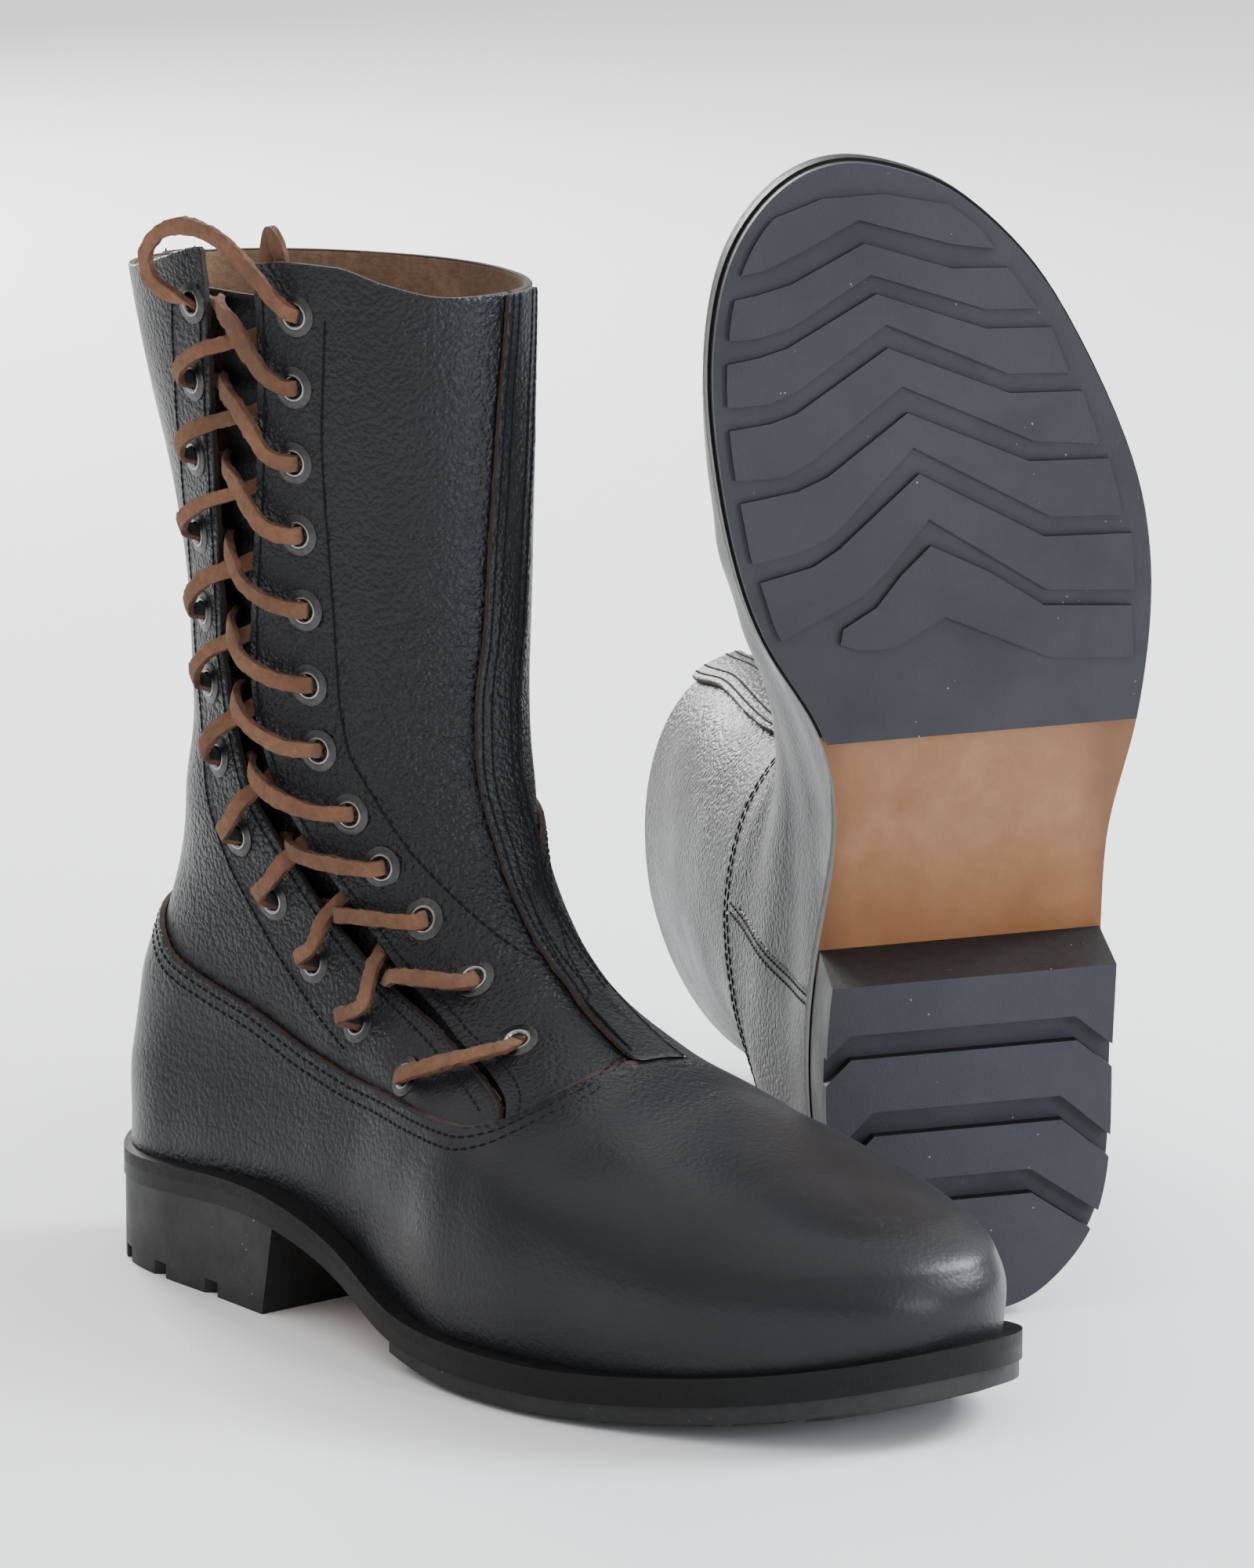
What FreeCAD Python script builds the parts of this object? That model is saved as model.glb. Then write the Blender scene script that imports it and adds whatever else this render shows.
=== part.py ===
import FreeCAD, Part
import math
import os

# A pair of tall side-lacing leather boots. The right boot stands, and the left boot lies on its
# back with its sole upright. Every solid is built once as a right boot, in the boot's own frame:
# x runs forward from the back of the heel, y to the left (the inner side of a right foot) and
# z up from the floor, in millimetres. The left boot is its mirror image.

V = FreeCAD.Vector

# Driving dimensions, in millimetres and degrees.
STRIP_TOP = 270.0                 # top of the shin strip
TONGUE_TOP = 267.0
TONGUE_FOOT = 77.0
HEEL_LENGTH = 91.0                # heel block at the floor
HEEL_BREAST_TOP = 97.0            # heel block where it meets the sole
HALF_SOLE_START = 155.0           # rear edge of the rubber half sole
MIDSOLE = 4.0                     # leather sole thickness
WELT = 3.5
FILLER = 2.0
INSOLE = 2.5
RUBBER_INSET = 0.8                # rubber stands this far inside the midsole's edge
TREAD_HEIGHT = 1.4                # raised bars under the half sole
TREAD_INSET = 4.2                 # the bars end this far inside the midsole's edge
HEEL_GROOVE = 4.0                 # depth of the heel's cross grooves
FLOOR_REACH = 320.0               # longer than the boot, for cutting tools
WIDE = 95.0                       # wider than half the boot, for cutting tools

# Layers of the upper, as distances outside (+) or inside (-) the boot's outer form.
OUTER_SKIN, OUTER_BACK = 1.0, -0.9        # galosh
STRIP_BACK = -0.75                        # shin strip and back strip
LEG_SKIN, LEG_BACK = -1.1, -3.2           # leg panels
STIFF_BACK = -2.1                         # heel counter and toe puff, behind the galosh
TONGUE_SKIN, TONGUE_BACK = -8.0, -9.6

# The ankle, where the leg flexes on the foot. The leg is cut on a cylinder about this axis.
ANKLE_X, ANKLE_Z = 75.0, 100.0
ANKLE_RADIUS = 76.0
ANKLE_GAP = 0.5
FOOT_TOP = 112.0                          # everything lower than this belongs to the foot

# Eyelets and lace.
EYELET_FLANGE, EYELET_BARREL, EYELET_BORE = 5.0, 2.9, 2.3
EYELET_HOLE = 3.0
LACE_RADIUS = 1.5
LACE_CLEAR = 2.0                          # a lace run ends this far from the cut at the ankle
LACE_SHORTEST = 2.5                       # shortest straight part at either end of a lace run
LACE_OUT, LACE_IN = 1.8, -6.1             # lace centre outside and inside a laced flap
LACE_OVER_EDGE, LACE_UNDER_EDGE = 0.9, -5.3
LACE_CROSS_FRONT, LACE_CROSS_REAR = 0.4, -4.6

# Where the boots stand. A heading turns the toe from +X; the left boot's toe points up.
RIGHT_HEADING = -57.5
RIGHT_PLACE = (-114.81, 49.02, 0.0)
LEFT_SIDE_TILT = -3.3
LEFT_PLACE = (85.19, -78.48, 0.35)

# The outer form: height, then the place of the front, of the back and so on.
FRONT = [(0, 299), (22, 300), (34, 301), (43, 297), (50, 285), (56, 268), (62, 247), (68, 225),
         (74, 205), (80, 189), (86, 175.5), (93, 163), (101, 152), (110, 144), (122, 137),
         (135, 131.5), (150, 128.5), (170, 127), (200, 127), (240, 128.5), (280, 129)]
BACK = [(0, 4), (36, 4), (55, 1), (75, 1), (92, 5.5), (110, 11.5), (130, 17), (155, 20),
        (180, 19), (210, 14.5), (240, 8), (280, 0)]
FRONT_ROUND = [(0, 75), (50, 80), (70, 95), (90, 104), (115, 88), (150, 68), (200, 66), (300, 68)]
BACK_ROUND = [(0, 34), (60, 36), (110, 48), (160, 58), (220, 64), (300, 68)]
FOOT_WIDTH = [(0, 32), (30, 32), (60, 32.5), (100, 31), (120, 31.5), (150, 38), (180, 47),
              (205, 50), (245, 49), (306, 47)]
LEG_WIDTH = [(0, 36), (100, 36), (150, 36.5), (200, 38), (280, 40.5)]
LEG_SHARE = [(0, 0), (45, 0), (140, 1), (300, 1)]
BULGE = [(0, 0.94), (14, 0.96), (30, 1.0), (50, 0.99), (70, 0.95), (100, 0.95), (140, 1.0), (300, 1.0)]
FOOT_CURVE = [(0, 0), (60, 0), (110, -4), (155, -7), (195, -3), (245, 5), (282, 11), (306, 15)]
FOOT_CURVE_KEPT = [(0, 1), (40, 1), (90, 0.4), (140, 0), (300, 0)]
LEAN = [(0, 0), (35, 0), (60, 3), (105, 8), (160, 8), (280, 5)]
TWIST = [(0, 0), (80, 0), (180, 6), (280, 8)]
LEVELS = [1, 4, 10, 16, 22, 28, 34, 39, 44, 49, 54, 59, 64, 69, 74, 79, 84, 90, 96, 103, 110, 118,
          126, 136, 148, 162, 178, 196, 216, 238, 260, 288]

# Sole outline (x, y), once round, and the profiles of the sole from heel to toe (x, z).
OUTLINE = [(0, 0), (2.5, 13), (9, 22.5), (20, 31.5), (40, 37), (65, 37.5), (98, 33), (125, 28.5),
           (145, 29.5), (160, 34), (180, 45), (205, 53), (230, 56.3), (250, 56.8), (268, 54.5),
           (284, 49), (296, 40), (303.5, 29), (306, 18), (303, 2), (298, -9), (288, -21),
           (275, -31.5), (257, -41), (235, -49.8), (215, -55.2), (195, -56.7), (170, -54.3),
           (150, -50.5), (125, -44.5), (98, -42.5), (65, -39.5), (40, -37.5), (20, -31.5),
           (9, -22.5), (2.5, -13)]
SOLE_LINE = [(-10, 25), (60, 25), (95, 24.6), (125, 17), (155, 8), (190, 6), (225, 6.5), (260, 9.5),
             (290, 14.5), (312, 20)]
TREAD_LINE = [(145, 4.6), (155, 3.1), (175, 0.45), (200, 0.15), (225, 0.65), (260, 3.6), (290, 8.5),
              (312, 14)]

# Seam lines of the upper, seen from the side (x, z).
OUTER_TOPLINE = [(-15, 98), (5, 97), (20, 91), (34, 84.5), (69, 76.5), (96, 69.5), (122, 66),
                 (148, 65.5), (172, 66), (182, 68.5), (188, 74), (190.5, 82), (192, 92)]
INNER_TOPLINE = [(-15, 98), (15, 100), (38, 107), (60, 121), (88, 131), (112, 132), (128, 127),
                 (140, 119), (150, 109), (160, 101), (172, 94), (184, 90), (192, 92)]
OUTER_TOP = [(-5, 268), (20, 269.5), (40, 274), (62, 279.5), (76, 276.5), (88, 278), (102, 277.5),
             (115, 273), (126, 270), (135, 270)]
INNER_TOP = [(-5, 268), (40, 269), (90, 270), (135, 270)]
OUTER_PANEL_FOOT = [(-15, 88), (5, 88), (20, 82), (34, 75.5), (69, 67.5), (96, 60.5), (122, 57),
                    (148, 56.5), (172, 57), (184, 60), (193, 70), (198, 84)]
INNER_PANEL_FOOT = [(-15, 88), (15, 90), (38, 97), (60, 111), (88, 121), (112, 122), (128, 117),
                    (142, 112), (150, 116)]

# Heights, and the place of each line of the lacing there.
GAP_FRONT = [(56, 192), (71, 179), (83, 147), (96, 118), (111, 100.5), (123, 89), (144, 76),
             (165, 70.5), (221, 76), (268, 79), (290, 79)]
GAP_REAR = [(54, 190), (69, 179), (79, 152), (92, 115), (106, 93), (119, 81.5), (134, 70),
            (155, 61), (176, 57.5), (218, 58), (273, 61), (290, 61)]
FRONT_EYES = [(83, 166.5), (95, 144), (108, 125), (120, 111.5), (133, 102), (149, 93), (166, 90),
              (186, 89.5), (225, 88.5), (264, 91)]
REAR_EYES = [(71, 137), (80, 111.5), (92, 90.5), (106, 74), (122, 62.5), (142, 54), (161, 49),
             (180, 46.5), (201, 46), (222, 48), (243, 51.5), (264, 55)]
FRONT_EYE_HEIGHTS = [264, 245, 225, 206, 186, 166, 149, 133, 120, 108, 95, 83]
REAR_EYE_HEIGHTS = [264, 243, 222, 201, 180, 161, 142, 122, 106, 92, 80, 71]
TONGUE_REAR = [(76, 137), (79, 128), (90, 102), (104, 80), (119, 66), (134, 54), (155, 45),
               (176, 41), (218, 42), (270, 44)]
TONGUE_FRONT = [(76, 186), (84, 178), (95, 160), (106, 142), (118, 126), (131, 114), (146, 106),
                (165, 101), (221, 103), (270, 106)]
GUSSET = 5.0                              # width of the sewn edge of the tongue

# Shin strip, seen from the front: its outer edge (y, z). Its width is constant.
STRIP_EDGE = [(2, 60), (2, 78), (4, 95), (4, 110), (3.5, 125), (2.5, 143), (3.5, 160), (6.5, 182),
              (9, 238), (13, 269), (14, 290)]
STRIP_WIDTH = 15.0
STRIP_END = 190.0
BACK_STRIP = (-1.0, 12.0)
BACK_SEAM = 5.0
QUARTER_SEAM = [(78, 10), (80, 60), (86, 100), (92, 140)]   # seam across the inner side (x, z)

# Raised bars of the half sole: rear edge, then front edge, from the inner side outwards (x, y).
TREAD_BARS = [
    ([(279, 48), (280, 41), (283, 33), (291, 15), (283, -9), (281, -20)],
     [(287, 43), (293, 37), (297, 24), (297, 8), (293, -9), (287, -16)]),
    ([(263, 51), (263, 44), (265, 35), (277, 13), (266, -16), (265, -30)],
     [(273, 50), (274, 43), (276, 34), (285, 14), (277, -8), (276, -23)]),
    ([(246, 53), (246, 42), (249, 34), (264, 10), (249, -21), (248, -37)],
     [(257, 52), (258, 44), (260, 36), (272, 12), (261, -16), (260, -33)]),
    ([(227, 52), (227, 39), (231, 31), (248, 7), (231, -27), (229, -44)],
     [(240, 53), (241, 42), (243, 35), (258, 10), (244, -21), (243, -40)]),
    ([(205, 49), (207, 36), (211, 27), (232, 5), (211, -30), (210, -49)],
     [(221, 51), (223, 36), (226, 28), (241, 6), (226, -25), (225, -46)]),
    ([(184, 43), (194, 21), (200, 14), (213, 2), (192, -28), (190, -51)],
     [(200, 47), (203, 33), (207, 26), (225, 4), (206, -28), (205, -51)]),
    ([(182, 27), (180, 22), (180, 13), (183, 7), (187, -1), (174, -28), (172, -50)],
     [(186, 26), (191, 17), (199, 10), (206, 2), (198, -13), (188, -27), (186, -50)]),
]
# Heel grooves: middle of the front edge, half its flat, and where the front edge leaves the side.
HEEL_GROOVES = [(78, 30, 70), (57, 25, 44), (38, 16, 21)]
HEEL_GROOVE_WIDTH = 6.5


def smooth(table, x):
    """Value at x of a smooth line through (x, value) pairs, without overshoot."""
    if x <= table[0][0]:
        return table[0][1]
    if x >= table[-1][0]:
        return table[-1][1]
    last = len(table) - 1
    slopes = [(table[i + 1][1] - table[i][1]) / (table[i + 1][0] - table[i][0]) for i in range(last)]
    tangents = [slopes[0]]
    for before, after in zip(slopes, slopes[1:]):
        level = before * after <= 0
        tangents.append(0.0 if level else 2 * before * after / (before + after))
    tangents.append(slopes[-1])
    i = next(k for k in range(last) if x <= table[k + 1][0])
    run = table[i + 1][0] - table[i][0]
    t = (x - table[i][0]) / run
    return ((2 * t**3 - 3 * t * t + 1) * table[i][1] + (t**3 - 2 * t * t + t) * run * tangents[i]
            + (3 * t * t - 2 * t**3) * table[i + 1][1] + (t**3 - t * t) * run * tangents[i + 1])


def rounding(share, power):
    """Fraction of full width at a share of the way in from a rounded end."""
    share = min(max(share, 0.0), 1.0)
    return (1 - (1 - share) ** power) ** (1 / power)


def form_point(turn, z):
    """Point of the outer form; turn runs 0 to 2 pi from the back by the inner side."""
    front, back = smooth(FRONT, z), smooth(BACK, z)
    x = back + (front - back) * (1 - math.cos(turn)) / 2
    share = smooth(LEG_SHARE, z)
    width = ((1 - share) * smooth(FOOT_WIDTH, x) + share * smooth(LEG_WIDTH, z)) * smooth(BULGE, z)
    width *= rounding((front - x) / smooth(FRONT_ROUND, z), 2.15)
    width *= rounding((x - back) / smooth(BACK_ROUND, z), 2.1)
    side = 1 if math.sin(turn) >= 0 else -1
    y = smooth(FOOT_CURVE, x) * smooth(FOOT_CURVE_KEPT, z) + smooth(LEAN, z) + side * width
    middle, twist = (front + back) / 2, math.radians(smooth(TWIST, z))
    ahead = x - middle
    return V(middle + ahead * math.cos(twist) - y * math.sin(twist),
             ahead * math.sin(twist) + y * math.cos(twist), z)


def skin_normal(turn, z):
    """Outward unit normal of the form."""
    step = 0.03
    along = form_point(turn + step, z) - form_point(turn - step, z)
    up = form_point(turn, z + 1.5) - form_point(turn, z - 1.5)
    normal = up.cross(along)
    return normal.normalize()


def skin_point(turn, z, offset):
    """Point at a distance outside the form, kept at its own height."""
    normal = skin_normal(turn, z)
    level = math.hypot(normal.x, normal.y)
    reach = offset / max(level, 0.42) / level
    return form_point(turn, z) + V(normal.x * reach, normal.y * reach, 0)


def outer_turn(x, z):
    """Turn at which the outer side of the form has this x."""
    low, high = math.pi, 2 * math.pi
    for _ in range(40):
        middle = (low + high) / 2
        if form_point(middle, z).x > x:
            low = middle
        else:
            high = middle
    return (low + high) / 2


def spline(points):
    curve = Part.BSplineCurve()
    curve.interpolate(Points=points)
    return curve.toShape()


def section(points, closed=False):
    """Smooth line through points with evenly spaced parameters, so that sections loft cleanly."""
    count = len(points) if closed else len(points) - 1
    curve = Part.BSplineCurve()
    curve.interpolate(Points=points, PeriodicFlag=closed, Parameters=[i / count for i in range(count + 1)])
    return curve.toShape()


def form_solid(offset, low, high):
    """Solid inside the form moved out by offset, between two heights."""
    count = 44
    wires = []
    for z in LEVELS:
        ring = [skin_point(2 * math.pi * i / count, z, offset) for i in range(count)]
        wires.append(Part.Wire([section(ring, True)]))
    slab = Part.makeBox(500, 2 * WIDE, high - low, V(-100, -WIDE, low))
    return Part.makeLoft(wires, True, False).common(slab)


def side_region(line, corners, y_low, y_high):
    """Block seen from the side: a smooth (x, z) line closed by straight (x, z) corners."""
    curve = spline([V(x, y_low, z) for x, z in line])
    ends = [line[-1]] + corners + [line[0]]
    sides = [Part.makeLine(V(a[0], y_low, a[1]), V(b[0], y_low, b[1])) for a, b in zip(ends, ends[1:])]
    return Part.Face(Part.Wire([curve] + sides)).extrude(V(0, y_high - y_low, 0))


def front_region(left, right, x_low, x_high):
    """Block seen from the front between two smooth (y, z) lines that end at the same heights."""
    edges = [spline([V(x_low, y, z) for y, z in left]), spline([V(x_low, y, z) for y, z in right])]
    for a, b in ((left[0], right[0]), (left[-1], right[-1])):
        edges.append(Part.makeLine(V(x_low, *a), V(x_low, *b)))
    wire = Part.Wire(Part.__sortEdges__(edges))
    return Part.Face(wire).extrude(V(x_high - x_low, 0, 0))


def between_lines(low, high):
    """Slab right across the boot between two smooth (x, z) profiles with the same end x."""
    edges = [spline([V(x, -WIDE, z) for x, z in low]), spline([V(x, -WIDE, z) for x, z in high])]
    for a, b in ((low[0], high[0]), (low[-1], high[-1])):
        edges.append(Part.makeLine(V(a[0], -WIDE, a[1]), V(b[0], -WIDE, b[1])))
    wire = Part.Wire(Part.__sortEdges__(edges))
    return Part.Face(wire).extrude(V(0, 2 * WIDE, 0))


def raised(line, height):
    return [(x, z + height) for x, z in line]


def plan_prism(points, low, high):
    """Straight-sided block from a plan outline."""
    corners = [V(x, y, low) for x, y in points]
    return Part.Face(Part.makePolygon(corners + corners[:1])).extrude(V(0, 0, high - low))


def plan_block(inset, low, high):
    """Block with the sole's outline, inset evenly."""
    curve = Part.BSplineCurve()
    curve.interpolate(Points=[V(x, y, low) for x, y in OUTLINE], PeriodicFlag=True)
    if inset:
        count = 120
        step = (curve.LastParameter - curve.FirstParameter) / count
        ring = []
        for i in range(count):
            at = curve.FirstParameter + i * step
            along = curve.tangent(at)[0]
            ring.append(curve.value(at) + V(along.y, -along.x, 0) * inset)
        curve = Part.BSplineCurve()
        curve.interpolate(Points=ring, PeriodicFlag=True)
    return Part.Face(Part.Wire([curve.toShape()])).extrude(V(0, 0, high - low))


def turned(profile, point, axis):
    """Solid of revolution from an (r, z) profile, moved so that z lies along axis from point."""
    corners = [V(r, 0, z) for r, z in profile]
    face = Part.Face(Part.makePolygon(corners + corners[:1]))
    solid = face.revolve(V(0, 0, 0), V(0, 0, 1), 360)
    solid.Placement = FreeCAD.Placement(point, FreeCAD.Rotation(V(0, 0, 1), axis))
    return solid


def tube(route, radius):
    """Round tube along straight runs joined by tangent arcs as large as the runs allow."""
    corners = []
    for i in range(1, len(route) - 1):
        back = (route[i - 1] - route[i])
        ahead = (route[i + 1] - route[i])
        shorter = min(back.Length, ahead.Length)
        half_turn = (math.pi - back.getAngle(ahead)) / 2
        back.normalize()
        ahead.normalize()
        reach = 0.45 * shorter
        bend = reach / math.tan(half_turn)
        inwards = (back + ahead).normalize()
        middle = route[i] + inwards * (bend / math.cos(half_turn) - bend)
        corners.append((route[i] + back * reach, middle, route[i] + ahead * reach))
    edges = []
    start = route[0]
    for first, middle, last in corners:
        edges.append(Part.makeLine(start, first))
        edges.append(Part.Arc(first, middle, last).toShape())
        start = last
    edges.append(Part.makeLine(start, route[-1]))
    circle = Part.Wire([Part.makeCircle(radius, route[0], route[1] - route[0])])
    return Part.Wire(edges).makePipeShell([circle], True, True)


# --- Sole -------------------------------------------------------------------------------------

def sole_parts():
    midsole_top = raised(SOLE_LINE, MIDSOLE)
    inner_form = form_solid(LEG_SKIN, 4, 60)
    outer_form = form_solid(OUTER_SKIN + 0.05, 4, 60)
    plan = plan_block(0, -5, 70)

    midsole = between_lines(SOLE_LINE, midsole_top).common(plan)
    welt = between_lines(midsole_top, raised(midsole_top, WELT)).common(plan).cut(outer_form)

    filler_top = raised(midsole_top, FILLER)
    filler = between_lines(midsole_top, filler_top).common(inner_form)
    shank = between_lines(raised(midsole_top, 0.2), raised(midsole_top, 1.8))
    shank = shank.common(Part.makeBox(95, 15, 60, V(80, -11, 0)))
    filler = filler.cut(Part.makeBox(95.2, 15.2, 60, V(79.9, -11.1, 0)))
    insole = between_lines(filler_top, raised(filler_top, INSOLE)).common(inner_form)

    rubber_plan = plan_block(RUBBER_INSET, -5, 70)
    front_block = Part.makeBox(FLOOR_REACH, 2 * WIDE, 80, V(HALF_SOLE_START, -WIDE, -10))
    tread_base = raised(TREAD_LINE, TREAD_HEIGHT)
    under_sole = between_lines([(x, -8) for x, _ in SOLE_LINE], SOLE_LINE)
    half_sole = between_lines(tread_base, raised(tread_base, 12)).common(under_sole)
    half_sole = half_sole.common(rubber_plan).common(front_block)
    tread_slab = between_lines(TREAD_LINE, raised(tread_base, 0.5))
    edge_plan = plan_block(TREAD_INSET, -5, 70)
    for rear, front in TREAD_BARS:
        bar = plan_prism(rear + front[::-1], -5, 40).common(tread_slab).common(edge_plan)
        half_sole = half_sole.fuse(bar)

    breast = [(-20, 0), (HEEL_LENGTH, 0), (HEEL_BREAST_TOP, 30), (-20, 30)]
    heel_profile = [V(x, -WIDE, z) for x, z in breast]
    heel_cut = Part.Face(Part.makePolygon(heel_profile + heel_profile[:1])).extrude(V(0, 2 * WIDE, 0))
    heel = plan_block(RUBBER_INSET / 2, -6, 70).common(heel_cut).common(under_sole)
    for middle, flat, end in HEEL_GROOVES:
        front = [(end - 6, 46), (end, 39), (middle, flat), (middle, -flat), (end, -39), (end - 6, -46)]
        rear = [(x - HEEL_GROOVE_WIDTH, y) for x, y in front]
        heel = heel.cut(plan_prism(front + rear[::-1], -1, HEEL_GROOVE))

    nails = []
    for x, y in ((14, 14), (14, -14), (34, 26), (34, -26), (62, 28), (62, -30), (82, 20), (82, -22)):
        shape = [(0, 9), (2.2, 9), (2.2, 10), (1.1, 10.6), (1.1, 26.8), (0, 26.8)]
        nails.append(turned(shape, V(x, y, 0), V(0, 0, 1)))
    nails = Part.makeCompound(nails)
    return {
        "midsole": midsole.cut(nails),
        "welt": welt,
        "cork_filler": filler,
        "shank": shank,
        "insole": insole,
        "half_sole": half_sole.removeSplitter(),
        "heel_block": heel.cut(nails),
        "heel_nails": nails,
    }


# --- Upper ------------------------------------------------------------------------------------

def outer_half():
    """Everything on the outer side of the seams at the shin and the back."""
    shin = [(-WIDE, 40), (7.5, 40), (17.5, 290), (-WIDE, 290)]
    corners = [V(65, y, z) for y, z in shin]
    ahead = Part.Face(Part.makePolygon(corners + corners[:1])).extrude(V(150, 0, 0))
    behind = Part.makeBox(95, WIDE + BACK_SEAM, 250, V(-30, -WIDE, 40))
    return ahead.fuse(behind)


def strip_band(low):
    right = [(y + STRIP_WIDTH, z) for y, z in STRIP_EDGE]
    band = front_region(STRIP_EDGE, right, 95, STRIP_END)
    return band.cut(Part.makeBox(200, 200, low, V(50, -100, 0)))


def back_band():
    return Part.makeBox(60, BACK_STRIP[1] - BACK_STRIP[0], 167.7, V(-25, BACK_STRIP[0], 100.5))


def galosh_parts():
    layer = form_solid(OUTER_SKIN, 4, 150).cut(form_solid(OUTER_BACK, 2, 160))
    floor = raised(SOLE_LINE, MIDSOLE)
    above = side_region(floor, [(FLOOR_REACH, 200), (-20, 200)], -WIDE, WIDE)
    low = [(FLOOR_REACH, 92), (FLOOR_REACH, 0), (-15, 0)]
    outside = side_region(OUTER_TOPLINE, low, -WIDE, BACK_SEAM)
    inside = side_region(INNER_TOPLINE, low, BACK_SEAM, WIDE)
    shell = layer.common(above).common(outside.fuse(inside)).cut(strip_band(60))
    seam = QUARTER_SEAM
    quarter_zone = side_region(seam, [(-30, 140), (-30, 10)], BACK_SEAM, WIDE)
    return {"galosh": shell.cut(quarter_zone), "inner_quarter": shell.common(quarter_zone)}


def stiffener_parts():
    layer = form_solid(LEG_SKIN - 0.05, 8, 95).cut(form_solid(STIFF_BACK, 6, 97))
    insole_top = raised(SOLE_LINE, MIDSOLE + FILLER + INSOLE + 0.1)
    above = side_region(insole_top, [(FLOOR_REACH, 200), (-20, 200)], -WIDE, WIDE)
    layer = layer.common(above)
    counter = [(-15, 86), (5, 86), (20, 80), (34, 73), (60, 60), (76, 44), (84, 24)]
    puff = [(236, 8), (240, 30), (248, 52), (262, 70)]
    return {
        "heel_counter": layer.common(side_region(counter, [(-15, 24)], -WIDE, WIDE)),
        "toe_puff": layer.common(side_region(puff, [(FLOOR_REACH, 70), (FLOOR_REACH, 8)], -WIDE, WIDE)),
    }


def lacing_line(table, low, high, steps=16):
    heights = [low + (high - low) * i / steps for i in range(steps + 1)]
    return [(smooth(table, z), z) for z in heights]


def under_top(line):
    """Everything below one side's top edge."""
    corners = [(FLOOR_REACH, line[-1][1]), (FLOOR_REACH, 0), (-40, 0), (-40, line[0][1])]
    return side_region(line, corners, -WIDE, WIDE)


def leg_parts():
    layer = form_solid(LEG_SKIN, 40, 282).cut(form_solid(LEG_BACK, 38, 285))
    outer_zone = outer_half()
    outer = layer.common(outer_zone).common(under_top(OUTER_TOP))
    outer = outer.common(side_region(OUTER_PANEL_FOOT, [(198, 300), (-15, 300)], -WIDE, 30))
    inner = layer.cut(outer_zone).common(under_top(INNER_TOP))
    inner = inner.common(side_region(INNER_PANEL_FOOT, [(150, 300), (-15, 300)], BACK_SEAM - 1, WIDE))

    gap_front = lacing_line(GAP_FRONT, 56, 290)
    gap_rear = lacing_line(GAP_REAR, 54, 290)
    ahead = side_region(gap_front, [(FLOOR_REACH, 290), (FLOOR_REACH, 56)], -WIDE, 40)
    behind = side_region(gap_rear, [(-40, 290), (-40, 54)], -WIDE, 40)
    front_panel = outer.common(ahead)
    rear_panel = outer.common(behind)
    return {"front_panel": front_panel, "rear_panel": rear_panel, "inner_panel": inner}


def strip_parts():
    layer = form_solid(OUTER_SKIN, 60, STRIP_TOP).cut(form_solid(STRIP_BACK, 58, STRIP_TOP + 3))
    return {"shin_strip": layer.common(strip_band(60)), "back_strip": layer.common(back_band())}


def tongue_part():
    """The tongue with its front edge folded up to the front panel, where it is sewn."""
    steps = 12
    wires = []
    for i in range(23):
        z = TONGUE_FOOT + (TONGUE_TOP - TONGUE_FOOT) * (i / 22) ** 1.3
        rear, front = outer_turn(smooth(TONGUE_REAR, z), z), outer_turn(smooth(TONGUE_FRONT, z), z)
        fold = outer_turn(smooth(TONGUE_FRONT, z) - GUSSET, z)

        def arc(start, end, offset):
            return [skin_point(start + (end - start) * k / steps, z, offset) for k in range(steps + 1)]

        lines = [arc(rear, fold, TONGUE_SKIN), arc(fold, front, LEG_BACK - 0.1),
                 arc(front, rear, TONGUE_BACK)]
        edges = []
        for line, after in zip(lines, lines[1:] + lines[:1]):
            edges += [section(line), Part.makeLine(line[-1], after[0])]
        wires.append(Part.Wire(edges))
    return Part.makeLoft(wires, True, False)


def eyelet_places():
    """(turn, height) of each eyelet, top row first, for the front and the rear line."""
    front = [(outer_turn(smooth(FRONT_EYES, z), z), z) for z in FRONT_EYE_HEIGHTS]
    rear = [(outer_turn(smooth(REAR_EYES, z), z), z) for z in REAR_EYE_HEIGHTS]
    return front, rear


def eyelets():
    """Each eyelet as (height, metal, hole cutter)."""
    shape = [(EYELET_BORE, -3.1), (3.9, -3.1), (3.9, -2.5), (EYELET_BARREL, -2.4), (EYELET_BARREL, 0.05),
             (EYELET_FLANGE, 0.05), (4.7, 0.6), (3.8, 0.95), (EYELET_BORE, 0.3)]
    made = []
    for line in eyelet_places():
        for turn, z in line:
            normal = skin_normal(turn, z)
            point = skin_point(turn, z, LEG_SKIN)
            hole = Part.makeCylinder(EYELET_HOLE, 12, point - normal * 6, normal)
            made.append((z, turned(shape, point, normal), hole))
    return made


def gap_point(share, z, offset):
    """Point over the lacing gap; share runs 0 at the rear flap's edge to 1 at the front flap's."""
    x = smooth(GAP_REAR, z) + share * (smooth(GAP_FRONT, z) - smooth(GAP_REAR, z))
    return skin_point(outer_turn(x, z), z, offset)


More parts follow.
